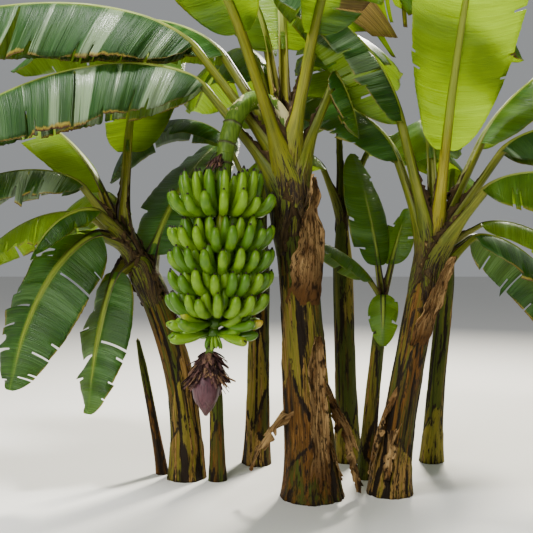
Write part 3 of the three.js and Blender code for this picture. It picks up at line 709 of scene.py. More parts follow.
# %% The nine stems
STEM_DETAIL = {  # sheaths, points round the stem, rings and how brown it is
    "main": (7, 168, 170, 0.56), "right": (6, 136, 130, 0.6), "left": (6, 128, 130, 0.5),
    "back_left": (5, 88, 100, 0.5), "back_right": (5, 88, 100, 0.5), "right_rear": (5, 72, 90, 0.4),
    "sucker": (4, 56, 70, 0.4), "dead_left": (3, 32, 50, 0.9), "stub": (3, 40, 40, 0.5),
}
for order, (name, detail) in enumerate(STEM_DETAIL.items()):
    stem_piece(name, STEMS[name], *detail, order + 3)

# %% [markdown]
# ## The leaves
#
# A leaf starts as a sheath on its stem, leaves it as a channelled stalk, and goes on as the rib of
# the blade. Its rib rises at one angle, bends over along the blade and may sweep sideways or roll.
# These sums, too, are the source's own: they give the leaf's middle line, the width of its rib and
# the width of its blade. A leaf that is broken at its stalk hangs from there at an angle of its own.

# %% Leaf rule
PETIOLE_HALF = 23
PETIOLE_FLARE = 0.7
RIB_TIP_SHARE = 0.2
BLADE_FULLNESS = 0.85
BLADE_NARROWING = 0.15


def rib_axes(leaf, place):
    """The directions along and across a leaf's rib at places along its blade."""
    start = np.where(place > 0, leaf.get("hang", leaf["rise"]), leaf["rise"])
    rise = np.radians(start + (leaf["fall"] - start) * np.maximum(place, 0) ** leaf["bend"])
    heading = np.radians(leaf["az"] + leaf["sweep"] * np.maximum(place, 0))
    along = vectors(np.cos(heading) * np.cos(rise), np.sin(heading) * np.cos(rise), np.sin(rise))
    across = vectors(-np.sin(heading), np.cos(heading), 0)
    roll = math.radians(leaf["roll"])
    return along, across * math.cos(roll) + np.cross(along, across) * math.sin(roll)


def rib_half(leaf, distance):
    """Half the width of the leaf's stalk, or of its rib under the blade."""
    place = np.maximum(0, (distance - leaf["petiole"]) / leaf["blade"])
    flare = 1 + PETIOLE_FLARE * np.clip(1 - distance / leaf["petiole"], 0, 1) ** 2
    return PETIOLE_HALF * lerp(1, RIB_TIP_SHARE, place) * leaf.get("thick", 1) * flare


def blade_half(leaf, place):
    """Half the width of the blade at places along it."""
    full = np.sqrt(np.sin(math.pi * place ** BLADE_FULLNESS))
    return leaf["width"] / 2 * full * (1 - BLADE_NARROWING * place)


# %% The line of a leaf
LINE_STEP = 4
SHOULDER = 150  # the longest way over which a sheath turns into its stalk


def leaf_line(leaf):
    """The leaf's middle line, from its sheath on the stem to its tip, with its directions."""
    stem = STEMS[leaf["stem"]]
    length = leaf["petiole"] + leaf["blade"]
    steps = int(length / LINE_STEP)
    middles = (np.arange(steps) + 0.5) / steps * length
    along, _ = rib_axes(leaf, (middles - leaf["petiole"]) / leaf["blade"])
    free = np.cumsum(np.vstack([np.zeros(3), along * length / steps]), axis=0)
    free += stem_axis(stem, np.float64(leaf["at"]))
    below = np.arange(leaf["clasp"], 0, -float(LINE_STEP))
    points = np.vstack([stem_axis(stem, leaf["at"] - below), free])
    distance = np.concatenate([-below, np.linspace(0, length, steps + 1)])

    turn = min(SHOULDER, leaf["petiole"] * 0.45, leaf["clasp"] * 0.9)
    shoulder = np.abs(distance) < turn
    t = ((distance[shoulder] + turn) / (2 * turn))[:, None]
    points[shoulder] = bow(*read_off((-turn, 0, turn), distance, points), t)

    tangent = unit(np.gradient(points, distance, axis=0))
    _, across = rib_axes(leaf, (distance - leaf["petiole"]) / leaf["blade"])
    across = unit(across - tangent * (across * tangent).sum(axis=1)[:, None])
    return dict(distance=distance, points=points, across=across, above=np.cross(tangent, across))


def on_line(line, distance):
    """The middle of a leaf, the way across it and the way up from it, at distances along it."""
    return [read_off(distance, line["distance"], line[key]) for key in ("points", "across", "above")]


print("the leaf rule is ready for stems:", ", ".join(STEMS))

# %% [markdown]
# ## Stalk and rib
#
# One tube follows the whole line. Where it clasps the stem it is wide and open, as the sheath is.
# Further out it closes to a deep gutter, and under the blade it fills up to a solid rib. So the
# tube's section is an arc out and an arc back, with a radius, an opening and a depth that change.

# %% Gutter
SHEATH_OPEN, STALK_OPEN = 104, 96  # degrees from the middle to each edge
STALK_DEEP = 1.45
TUCK = 14


def gutter(leaf, distance):
    """The radius, half the opening and the depth of the leaf's tube along its line."""
    stem = STEMS[leaf["stem"]]
    on_stem = np.minimum(leaf["at"] + np.minimum(distance, 0), stem["height"])
    hug = stem_radius(stem, on_stem) + leaf["layer"]
    hug -= TUCK * smooth(-0.55 * leaf["clasp"], -leaf["clasp"], distance)
    free = smooth(-90, 250, distance)
    opening = lerp(SHEATH_OPEN, STALK_OPEN, free) * lerp(0.55, 1, smooth(-leaf["clasp"], -20, distance))
    place = np.clip((distance - leaf["petiole"]) / leaf["blade"], 0, 1)
    radius = lerp(hug, rib_half(leaf, distance), free)
    return radius, np.radians(opening), lerp(1, STALK_DEEP, free) * lerp(1, 0.8, place)


# %% Rib
RIB_SIDES = 8
RIB_STEP = 14
SHEATH_WALL = 6


def arc(radius, depth, angle):
    """Points of a tube's section: across it, and up from its middle."""
    return np.stack([radius * np.sin(angle), -depth * np.cos(angle)], axis=-1)


def capped(rings, marks, first, last):
    """A tube with one more ring at each end, drawn together to a point."""
    rings = np.concatenate([first + 0 * rings[:1], rings, last + 0 * rings[:1]])
    return rings, {key: np.concatenate([v[:1], v, v[-1:]]) for key, v in marks.items()}


def rib_mesh(leaf, line, seed, first, last):
    """The sheath, stalk and rib of a leaf as one tube, open above like a gutter."""
    distance = np.linspace(first, last, int((last - first) / RIB_STEP))[:, None]
    place = (distance - leaf["petiole"]) / leaf["blade"]
    radius, open_half, deep = gutter(leaf, distance)
    inner = radius - lerp(SHEATH_WALL, 0.5 * radius, smooth(-40, 260, distance))
    hollow = lerp(0.9, -0.35, smooth(-0.06, 0.12, place))
    turns = np.linspace(-1, 1, RIB_SIDES)
    out = turns * open_half
    ring = np.concatenate([arc(radius, deep * radius, out), arc(inner, hollow * deep * inner, -out)], axis=1)
    if last > leaf["petiole"]:
        ring[-1] = 0
    centre, across, above = on_line(line, distance)
    points = centre + across * ring[..., :1] + above * ring[..., 1:]
    around = np.concatenate([turns, -turns])
    marks = {
        "spot": vectors(around * 0.05, distance * 0.001, seed * 1.7),
        "share": vectors(around, np.maximum(distance / leaf["petiole"], -1), np.repeat([0, 1], RIB_SIDES)),
        "tone": np.full((*ring.shape[:2], 3), leaf["tone"], float),
    }
    ends = (points[end].mean(axis=0) for end in (0, -1))
    points, marks = capped(points, marks, *ends)
    return skin("rib", points, marks, rolled=True)


# %% [markdown]
# ## Dry margins
#
# The two edges of a sheath and of the foot of its stalk are thin paper that dries and tears. Each
# is a narrow ragged strip that starts inside the tube's edge and fades out along the stalk.

# %% Margins
MARGIN_ROWS = 54
MARGIN_END = 420


def margin_mesh(leaf, line, seed):
    """The dry papery edges of the sheath and the stalk's foot."""
    rng = np.random.default_rng(seed)
    last = min(0.8 * leaf["petiole"], MARGIN_END)
    distance = np.linspace(-0.95 * leaf["clasp"], last, MARGIN_ROWS)[:, None]
    radius, open_half, deep = gutter(leaf, distance)
    centre, across, above = on_line(line, distance)
    t = np.array([0, 0.5, 1])
    strips = []
    for side in (1, -1):
        ragged = 0.55 + 0.45 * ripple(distance, 17, rng) + 0.35 * ripple(distance, 8, rng)
        wide = leaf["margin"] * ragged * (1 - smooth(0.3, 1, distance / last))
        turn = open_half - 0.1 + wide / radius * t
        out = radius * (1.02 + 0.16 * t ** 2 * ripple(distance, 30, rng))
        points = (centre + across * (side * out * np.sin(turn))[..., None]
                  - above * (out * deep * np.cos(turn))[..., None])
        spot = vectors(t * 0.03, distance * 0.001, seed + side)
        strip = skin("margin", points, {"spot": spot})
        thicken(strip, 1.6)
        strip.data.materials.append(margin_finish)
        strips.append(strip)
    return join(strips)


# %% [markdown]
# ## The blade
#
# The blade is a grid across the rib, whose rows follow the veins. Each half folds down from the rib
# and curls a little more towards its edge, and pleats run out along the veins. A tear is a gap
# between two rows: the large tears are the source's, and small ones are dealt out by chance. The
# strip between two tears then hangs, twists and slides by amounts of its own, and a few wither.

# %% Tears
LARGE_TEAR_START = 0.12  # where a large tear starts, as a share of the way from rib to edge
STRIP_DROOP = 0.25  # more strips hang than stand up, by this share of the leaf's looseness
STRIP_TWIST = 0.22
STRIP_SLIDE = 0.03
WITHERED_STRIP = 1.4  # what a withered strip adds to how burnt the leaf is


def torn_rows(leaf, side, rows, rng):
    """The tears of one half: after which row each lies, and how far from the rib it starts."""
    tears = [(place, LARGE_TEAR_START) for place in leaf["tears"][side]]
    tears += [(rng.uniform(0.05, 0.95), rng.uniform(*leaf["nick_start"])) for _ in range(leaf["nicks"])]
    found = {}
    for place, start in sorted(tears, key=lambda tear: tear[1]):
        row = int(np.searchsorted(rows[:, 0], place)) - 1
        if 2 < row < len(rows) - 4 and all(abs(row - other) > 3 for other in found):
            found[row] = start
    return sorted(found.items())


def let_strips_hang(leaf, side, rows, q, reach, half, rng):
    """Moves the strips between the tears of one half, and marks the faces that a tear takes away."""
    last = len(rows) - 1
    doomed = np.zeros((last, q.shape[1] - 1), bool)
    tears = [(-1, 1.0)] + torn_rows(leaf, side, rows, rng) + [(last, 1.0)]
    for (a, start_a), (b, start_b) in zip(tears, tears[1:]):
        strip = slice(a + 1, b + 1)
        u = np.linspace(-1, 1, b - a)[:, None]
        start = lerp(start_a, start_b, (u + 1) / 2)
        loose = np.clip((q - start) / np.maximum(1 - start, 0.05), 0, 1)
        hang = rng.normal(STRIP_DROOP, 1) * math.radians(leaf["loose"])
        twist = rng.normal(0, STRIP_TWIST)
        wide = (rows[b, 0] - rows[a + 1, 0]) * leaf["blade"] / 2
        hanging = loose ** 1.3 * reach[strip] * (1 - start)
        half["drop"][strip] -= np.sin(hang) * hanging
        half["flat"][strip] -= (1 - math.cos(hang)) * hanging
        half["rise"][strip] += twist * u * loose * min(wide, 60)
        half["slide"][strip] -= STRIP_SLIDE * u * loose ** 1.5 * min(wide, 70)
        if rng.random() < leaf["withered"]:
            half["burnt"][strip] += WITHERED_STRIP * smooth(0, 0.3, loose)
        if b < last:
            doomed[b] = (q[0, 1:] + q[0, :-1]) / 2 > start_b
    return doomed


# %% One half of a blade
FOLD_CURL = 0.28
PLEAT_STEPS = (80, 26)
FRAY_STEPS = (13, 5)


def run_out(steps):
    """The sums of steps across the blade, from nought at the rib."""
    return np.concatenate([np.zeros((len(steps), 1)), np.cumsum(steps, axis=1)], axis=1)


def half_sheet(leaf, rows, q, rng):
    """Where the points of a flat, untorn half lie: along the leaf, out from the rib and up."""
    run = rows * leaf["blade"]
    place = np.clip(rows + 0.05 * np.sin(math.pi * rows) * q ** 2, 0, 1)
    coarse, fine = (ripple(run, spacing, rng) for spacing in FRAY_STEPS)
    fray = 1 - leaf["ragged"] * np.abs(coarse + 0.6 * fine)
    reach = np.maximum(blade_half(leaf, place) * fray, 14)
    fold = leaf["fold"] * np.minimum(1, reach / 60)
    angle = np.radians(fold * (1 - FOLD_CURL + 2 * FOLD_CURL * q)) * smooth(0, 0.13, q)
    bend = (angle[:, 1:] + angle[:, :-1]) / 2
    half_rib = rib_half(leaf, leaf["petiole"] + leaf["blade"] * place) * 0.8
    step = np.diff(q, axis=1) * (reach + half_rib)[:, 1:]
    coarse, fine = (ripple(run, spacing, rng) for spacing in PLEAT_STEPS)
    pleats = leaf["pleat"] * (coarse + 0.35 * fine)
    rise = pleats * np.sin(q * math.pi * 0.55) * np.minimum(1, reach / 120)
    half = dict(flat=run_out(step * np.cos(bend)), drop=run_out(-step * np.sin(bend)), rise=rise,
                slide=0 * rise, burnt=leaf["tone"][1] + 0 * rise)
    return place, reach, half


def half_blade(leaf, line, rows, columns, side, seed, rng):
    """One half of a blade as points and marks, and the faces that its tears take away."""
    q = np.linspace(0, 1, columns)[None, :] ** 0.9
    place, reach, half = half_sheet(leaf, rows, q, rng)
    doomed = let_strips_hang(leaf, side, rows, q, reach, half, rng)
    flat, drop, rise = half["flat"], half["drop"], half["rise"]
    turn = np.arctan2(-np.gradient(drop, axis=1), np.gradient(flat, axis=1))
    sign = 1 - 2 * side
    out = sign * (flat + rise * np.sin(turn))
    up = drop + rise * np.cos(turn) + 1
    distance = leaf["petiole"] + leaf["blade"] * place
    middle = on_line(line, distance + half["slide"])[0]
    _, across, above = on_line(line, distance)
    yellow, _, dull = leaf["tone"]
    return dict(
        points=middle + across * out[..., None] + above * up[..., None],
        spot=vectors(sign * flat * 0.001, (leaf["petiole"] + leaf["blade"] * rows) * 0.001, seed * 1.7),
        share=vectors(q, place, side),
        tone=vectors(yellow, half["burnt"], dull),
    ), doomed


# %% Whole blades
END_CROWDING = 0.55


def blade_mesh(leaf, line, seed, detail):
    """The blade of a leaf as a grid across its rib, torn, pleated and thickened."""
    rng = np.random.default_rng(seed)
    count, columns = detail
    even = np.linspace(0, 1, count)[:, None]
    rows = lerp(even, (1 - np.cos(math.pi * even)) / 2, END_CROWDING) * 0.996 + 0.002
    (left, left_gone), (right, right_gone) = (
        half_blade(leaf, line, rows, columns, side, seed, rng) for side in (0, 1)
    )
    both = {key: np.concatenate([right[key][:, :0:-1], left[key]], axis=1) for key in left}
    piece = skin("blade", both.pop("points"), both)
    cut(piece, np.concatenate([right_gone[:, ::-1], left_gone], axis=1))
    thicken(piece, leaf["thickness"])
    return piece


# %% One leaf
LEAF_DEFAULTS = dict(
    sweep=0, roll=0, tears=((), ()), nicks=5, nick_start=(0.55, 0.93), loose=5, pleat=7, ragged=0.012,
    withered=0, tone=(0.15, 0.35, 0.2), clasp=300, layer=0, thickness=1.4, margin=32,
)
RIB_END = 0.985
GREEN = (blade_top, blade_under, rib_finish)
DRY = (dry_finish, dry_finish, dry_finish)


def leaf_mesh(leaf, seed, detail, finishes, parts=("stalk", "blade", "margin")):
    """A leaf of the parts asked for, on its rib."""
    leaf = {**LEAF_DEFAULTS, **leaf}
    line = leaf_line(leaf)
    made = []
    if "blade" in parts:
        blade = blade_mesh(leaf, line, seed, detail)
        blade.data.materials.append(finishes[0])
        blade.data.materials.append(finishes[1])
        made.append(blade)
    first = -leaf["clasp"] if "stalk" in parts else leaf["petiole"]
    last = (leaf["petiole"] + leaf["blade"]) * RIB_END if "blade" in parts else leaf["petiole"]
    rib = rib_mesh(leaf, line, seed, first, last)
    rib.data.materials.append(finishes[2])
    made.append(rib)
    if "margin" in parts:
        made.append(margin_mesh(leaf, line, seed))
    return join(made)


# %% [markdown]
# ## Leaves of the three large stems
#
# Each leaf is told by where it leaves its stem, its heading, how steeply it rises and falls, and the
# lengths of its stalk and blade. Heights and lengths are in millimetres and angles in degrees, with
# the heading counted from the plant's right side. `tears` are the places of the large tears in each
# half. The lower a leaf leaves its stem, the further out its sheath lies.

# %% Large leaves
LEAVES = {
    "leaf_main_long": dict(stem="main", at=1420, az=180, rise=51, fall=-42, bend=0.43, petiole=620,
        blade=1480, width=660, sweep=10, fold=56, roll=-6, tears=((0.42,), (0.25, 0.6)),
        nicks=9, nick_start=(0.6, 0.9), pleat=17, ragged=0.03, tone=(0.0, 0.75, -1)),
    "leaf_main_high": dict(stem="main", at=1545, az=177, rise=52, fall=-22, bend=0.46, petiole=690,
        blade=1560, width=660, sweep=4, fold=56, roll=-8, tears=((0.55,), (0.36, 0.7)),
        nicks=9, nick_start=(0.6, 0.9), pleat=17, ragged=0.03, tone=(0.05, 0.6, -1)),
    "leaf_main_front": dict(stem="main", at=1500, az=225, rise=63, fall=0, bend=0.9, petiole=650,
        blade=1400, width=640, sweep=-14, fold=14, tears=((0.5,), (0.66,)), tone=(0.35, 0.3, 0.1)),
    "leaf_main_right_front": dict(stem="main", at=1560, az=302, rise=70, fall=5, bend=0.9, petiole=560,
        blade=1350, width=560, sweep=10, fold=30, tears=((0.35,), (0.2,)), nicks=10, loose=12,
        nick_start=(0.2, 0.8), withered=0.1, tone=(0.25, 0.6, 0.1)),
    "leaf_main_torn": dict(stem="main", at=1640, az=20, rise=76, fall=-64, bend=0.8, petiole=520,
        blade=1450, width=560, sweep=-6, fold=60, tears=((0.6,), (0.4,)), nicks=18, loose=26,
        nick_start=(0.12, 0.5), withered=0.3, tone=(0.3, 0.8, 0.2)),
    "leaf_main_behind": dict(stem="main", at=1600, az=156, rise=56, fall=-30, bend=0.6, petiole=560,
        blade=1400, width=560, fold=42, tears=((0.5,), (0.4,)), tone=(0, 0.4, 0.5)),
    "leaf_main_back_left": dict(stem="main", at=1640, az=140, rise=77, fall=10, bend=1, petiole=430,
        blade=1300, width=560, fold=24, tears=((0.6,), ()), tone=(0.45, 0.3, 0.2)),
    "leaf_main_upright": dict(stem="main", at=1665, az=98, rise=80, fall=12, bend=1.1, petiole=420,
        blade=1350, width=560, fold=24, tears=((), (0.5,)), tone=(0.5, 0.2, 0.2)),
    "leaf_main_back_right": dict(stem="main", at=1590, az=62, rise=62, fall=-35, bend=0.7, petiole=500,
        blade=1350, width=580, fold=40, tears=((0.5,), (0.34,)), nicks=8, loose=10),
    "leaf_main_back_low": dict(stem="main", at=1550, az=112, rise=60, fall=-34, bend=0.6, petiole=520,
        blade=1350, width=600, fold=50, tears=((0.4,), (0.6,)), nicks=8),
    "leaf_right_tall": dict(stem="right", at=1200, az=300, rise=81, fall=40, bend=1.4, petiole=400,
        blade=1500, width=560, sweep=-40, fold=12, tears=((0.45,), ()), nicks=4, pleat=5,
        tone=(0.75, 0.2, 0.2)),
    "leaf_right_side": dict(stem="right", at=1230, az=12, rise=63, fall=-5, bend=0.8, petiole=460,
        blade=1350, width=560, fold=40, roll=-8, tears=((0.5,), (0.4,)), nicks=6),
    "leaf_right_low_side": dict(stem="right", at=1180, az=350, rise=55, fall=-45, bend=0.5, petiole=510,
        blade=1200, width=540, fold=52, tears=((0.45,), (0.3,)), nicks=6, loose=9, tone=(0.1, 0.5, -1)),
    "leaf_right_front": dict(stem="right", at=1130, az=330, rise=50, fall=-60, bend=0.5, petiole=370,
        blade=1150, width=520, fold=50, tears=((0.5,), (0.35,)), nicks=6, loose=9),
    "leaf_right_low": dict(stem="right", at=1050, az=12, rise=36, fall=-72, bend=0.35, petiole=270,
        blade=980, width=480, fold=42, tears=((0.4,), (0.6,)), nicks=8, loose=10, tone=(0, 0.6, 0.7)),
    "leaf_right_over": dict(stem="right", at=1180, az=188, rise=75, fall=8, bend=1.1, petiole=570,
        blade=900, width=440, fold=55, tears=((0.3,), (0.2,)), nicks=5, tone=(0, 0.4, -0.6)),
    "leaf_right_behind": dict(stem="right", at=1140, az=150, rise=70, fall=-30, bend=0.8, petiole=450,
        blade=1150, width=540, fold=35, tears=((0.5,), (0.4,)), tone=(0.05, 0.4, 0.6)),
    "leaf_right_back": dict(stem="right", at=1220, az=84, rise=62, fall=-35, bend=0.7, petiole=420,
        blade=1250, width=540, fold=40, tears=((0.4,), (0.6,)), nicks=8),
    "leaf_left_long": dict(stem="left", at=1185, az=216, rise=16, fall=-80, bend=0.3, petiole=140,
        blade=900, width=460, fold=22, roll=-32, tears=((0.34,), (0.56,)), nicks=8, nick_start=(0.3, 0.9),
        loose=6, pleat=8, tone=(0, 0.5, 0.6)),
    "leaf_left_hanging": dict(stem="left", at=1120, az=238, rise=-35, fall=-83, bend=0.25, petiole=150,
        blade=700, width=310, fold=20, tears=((0.5,), (0.6,)), nicks=5, loose=4, tone=(0.1, 0.5, 0.6)),
    "leaf_left_upright": dict(stem="left", at=1020, az=60, rise=60, fall=20, bend=1.3, petiole=110,
        blade=1050, width=480, fold=12, tears=((), (0.36,)), nicks=5, tone=(0, 0.3, 0.75)),
    "leaf_left_backlit": dict(stem="left", at=1255, az=150, rise=62, fall=0, bend=0.9, petiole=200,
        blade=1050, width=430, fold=30, tears=((0.5,), ()), tone=(0.6, 0.2, 0.2)),
    "leaf_left_back": dict(stem="left", at=1225, az=76, rise=80, fall=15, bend=1.2, petiole=420,
        blade=1050, width=460, fold=24, tears=((), (0.5,)), tone=(0.3, 0.3, 0.2)),
    "leaf_left_arching": dict(stem="left", at=1262, az=190, rise=52, fall=-48, bend=0.5, petiole=250,
        blade=950, width=440, fold=42, tears=((0.3,), (0.5,)), nicks=9, loose=14, tone=(0.1, 0.6, -1)),
    "leaf_left_low": dict(stem="left", at=1215, az=174, rise=34, fall=-55, bend=0.6, petiole=150,
        blade=780, width=360, fold=46, tears=((0.4,), ()), nicks=6, loose=10, tone=(0.35, 0.6, 0.2)),
    "leaf_left_rear": dict(stem="left", at=1150, az=122, rise=52, fall=-45, bend=0.6, petiole=260,
        blade=950, width=430, fold=40, tears=((0.5,), (0.4,)), nicks=6),
    "leaf_left_curled": dict(stem="left", at=1238, az=226, rise=36, fall=-70, bend=0.5, petiole=160,
        blade=460, width=170, sweep=-20, fold=60, tears=((), (0.5,)), tone=(0.1, 0.5, 0)),
}
INNERMOST, OUTERMOST = -14, 7  # how far a sheath lies from the stem's skin
ROW_STEP = 7.5

for stem_name in ("main", "right", "left"):
    own = sorted((n for n in LEAVES if LEAVES[n]["stem"] == stem_name), key=lambda n: -LEAVES[n]["at"])
    for order, name in enumerate(own):
        leaf = {**LEAVES[name], "layer": lerp(INNERMOST, OUTERMOST, order / len(own))}
        detail = (int(leaf["blade"] / ROW_STEP), 11 if leaf["width"] > 500 else 9)
        settle(leaf_mesh(leaf, len(name) * 31 + leaf["at"], detail, GREEN), "leaf", name)
print("large leaves:", len(LEAVES))

# %% [markdown]
# ## The broken leaf
#
# One leaf of the main stem is snapped where its stalk ends, and its small blade hangs straight
# down. The solids hold it in two nodes, so it is made in two pieces from one description.

# %% Broken leaf
BROKEN = dict(stem="main", at=1480, az=352, rise=66, fall=-84, bend=1, hang=-58, petiole=520, blade=330,
    width=210, fold=50, tears=((0.5,), ()), nicks=3, layer=2, tone=(0, 0.8, 0.3))
BROKEN_DETAIL = (40, 7)

settle(leaf_mesh(BROKEN, 5, BROKEN_DETAIL, GREEN, ("stalk", "margin")), "leaf", "leaf_main_broken_petiole")
settle(leaf_mesh(BROKEN, 6, BROKEN_DETAIL, GREEN, ("blade",)), "leaf", "leaf_main_broken_blade")

# %% [markdown]
# ## Crowns of the small stems
#
# A young stem has only a few leaves, which rise from its very top. They are made by the same rule,
# with thinner stalks and coarser grids, and the leaves of one crown are joined into one piece.

# %% Crowns
CROWN_LIFT = 14
CROWN_ROW_STEP = 11
CROWN_COLUMNS = 8
CROWNS = {
    "back_left": [
        dict(az=176, rise=66, fall=-80, bend=0.8, petiole=380, blade=900, width=420, fold=30,
             tears=((0.5,), ()), tone=(0.05, 0.3, 0.7)),
        dict(az=60, rise=70, fall=-20, bend=0.8, petiole=360, blade=950, width=430, fold=34,
             tears=((), (0.4,))),
    ],
    "back_right": [
        dict(az=100, rise=83, fall=10, bend=1, petiole=480, blade=950, width=430, fold=26,
             tears=((0.4,), ())),
        dict(az=30, rise=64, fall=-55, bend=0.6, petiole=360, blade=950, width=430, fold=44,
             tears=((), (0.5,))),
        dict(az=215, rise=62, fall=-60, bend=0.6, petiole=260, blade=700, width=330, fold=44,
             tears=((0.5,), ())),
    ],
    "right_rear": [
        dict(az=345, rise=30, fall=-62, bend=0.5, petiole=180, blade=760, width=330, fold=46,
             tears=((0.4,), ())),
        dict(az=75, rise=62, fall=-30, bend=0.7, petiole=280, blade=850, width=380, fold=38,
             tears=((), (0.5,))),
    ],
    "sucker": [
        dict(az=128, rise=80, fall=64, bend=1, petiole=170, blade=610, width=290, fold=12,
             tone=(0.05, 0.3, 0.5)),
        dict(az=50, rise=66, fall=56, bend=1, petiole=190, blade=330, width=170, fold=20,
             tone=(0.05, 0.3, 0.4)),
        dict(az=196, rise=56, fall=10, bend=0.8, petiole=120, blade=420, width=230, fold=46,
             tone=(0, 0.3, 0.5)),
        dict(az=262, rise=25, fall=-86, bend=0.3, petiole=60, blade=290, width=150, fold=24,
             tone=(0.3, 0.3, 0.2)),
    ],
}
for stem_name, leaves in CROWNS.items():
    crown = []
    for order, leaf in enumerate(leaves):
        small = dict(stem=stem_name, at=STEMS[stem_name]["height"] + CROWN_LIFT, thick=0.7, clasp=150,
                     margin=16, layer=-3 - 3 * order, nicks=3, pleat=5, thickness=1.2)
        detail = (int(leaf["blade"] / CROWN_ROW_STEP), CROWN_COLUMNS)
        crown.append(leaf_mesh({**small, **leaf}, order * 17 + len(stem_name), detail, GREEN))
    settle(join(crown), "leaf", "leaves_" + stem_name)

# %% [markdown]
# ## Dry leaf strips
#
# Old leaves hang down along the stems as narrow brown straps. They follow the leaf rule too, with a
# ragged, loosely hanging blade in the dry finish, and two straps make one piece.

# %% Dry leaves
STRAP = dict(bend=0.5, fold=30, tears=((0.4,), (0.6,)), thick=0.5, clasp=30, nicks=5, loose=30, pleat=7,
    ragged=0.2, thickness=2)
STRAP_ROW_STEP = 8
DRY_LEAVES = {
    "dry_leaf_right": [
        dict(stem="main", at=560, az=350, rise=-38, fall=-86, petiole=90, blade=520, width=110, roll=-48),
        dict(stem="main", at=330, az=336, rise=-30, fall=-80, petiole=60, blade=240, width=80, roll=-40),
    ],
    "dry_leaf_left": [
        dict(stem="main", at=430, az=196, rise=-20, fall=-70, petiole=90, blade=330, width=80),
        dict(stem="main", at=300, az=232, rise=-50, fall=-80, petiole=50, blade=210, width=60),
    ],
    "dry_leaf_inner": [
        dict(stem="right", at=520, az=200, rise=-40, fall=-84, petiole=70, blade=400, width=90, roll=30),
        dict(stem="right", at=410, az=232, rise=-44, fall=-84, petiole=60, blade=300, width=66),
    ],
}
seed = 60
for name, straps in DRY_LEAVES.items():
    pieces = []
    for strap in straps:
        seed += 1
        detail = (int(strap["blade"] / STRAP_ROW_STEP), 6)
        pieces.append(leaf_mesh({**STRAP, **strap}, seed, detail, DRY, ("stalk", "blade")))
    settle(join(pieces), "dry", name)

# %% [markdown]
# ## The fruit stalk
#
# The stalk comes out of the stem's top, bends over and hangs straight down. It is one smooth line in
# space, the same as in the solids, and a round tube of changing thickness along it. Fallen bracts
# have left raised brown rings on its hanging side, and its bend is scraped pale.

# %% Stalk line
STALK_POINTS = np.array([
    (-120, 6, 1680), (-150, 2, 1752), (-205, -8, 1808), (-276, -34, 1818), (-338, -78, 1760),
    (-378, -122, 1650), (-402, -146, 1530), (-412, -152, 1250), (-420, -152, 960), (-452, -152, 760),
    (-486, -152, 600),
], float)
STALK_STEPS = 400
STALK_SPLIT = 0.36  # the share of the line where the solids' arch ends


def smooth_curve(points, steps):
    """A centripetal curve through points, as the source's, in equal steps."""
    knots = np.vstack([2 * points[0] - points[1], points, 2 * points[-1] - points[-2]])
    t = np.linspace(0, 1, 60, endpoint=False)[:, None]
    pieces = []
    for p0, p1, p2, p3 in zip(knots, knots[1:], knots[2:], knots[3:]):
        d0, d1, d2 = (np.linalg.norm(b - a) ** 0.5 for a, b in ((p0, p1), (p1, p2), (p2, p3)))
        t1 = ((p1 - p0) / d0 - (p2 - p0) / (d0 + d1) + (p2 - p1) / d1) * d1
        t2 = ((p2 - p1) / d1 - (p3 - p1) / (d1 + d2) + (p3 - p2) / d2) * d1
        c3 = 2 * p1 - 2 * p2 + t1 + t2
        c2 = -3 * p1 + 3 * p2 - 2 * t1 - t2
        pieces.append(p1 + t1 * t + c2 * t ** 2 + c3 * t ** 3)
    line = np.vstack([*pieces, points[-1:]])
    run = np.concatenate([[0], np.cumsum(np.linalg.norm(np.diff(line, axis=0), axis=1))])
    return read_off(np.linspace(0, run[-1], steps), run, line)


stalk_line = smooth_curve(STALK_POINTS, STALK_STEPS)
hanging = stalk_line[int(STALK_STEPS * STALK_SPLIT):]
print("the stalk hangs from", hanging[0].round(), "to", hanging[-1].round())


def stalk_at(height):
    """The middle of the hanging stalk at a height."""
    return read_off(-height, -hanging[:, 2], hanging)


# %% Stalk finish
stalk_finish, wire = finish("fruit stalk")
spot = wire.attribute("spot")
bare, ring, _ = wire.attribute("share").split()
fibres = spot.noise((120, 120, 8), 3)
worn = spot.noise((22, 22, 12), 4, 0.6)
colour = fibres.rise(0.3, 0.7).tint((0.04, 0.09, 0.005), (0.1, 0.17, 0.012))
colour = (worn + bare * 0.22).rise(0.68, 0.74).tint(colour, (0.5, 0.45, 0.22))
colour = ring.tint(colour, (0.035, 0.022, 0.012))
surface(stalk_finish, wire, plain(wire, colour, 0.5, (fibres + worn).bump(0.003, 0.5), 0.3))

# %% Stalk
STALK_SHARES = (0, 0.25, 0.42, 0.6, 1)
STALK_RADII = (42, 41, 38, 26, 15)
SCARS = (1696, 1606, 1522, 1440, 1385, 760, 735, 712)  # heights of the rings that bracts left
SCAR_HALF = 4.5
SCAR_STEP = 5.5
FALLING = 0.2  # the share of the line after which scars show


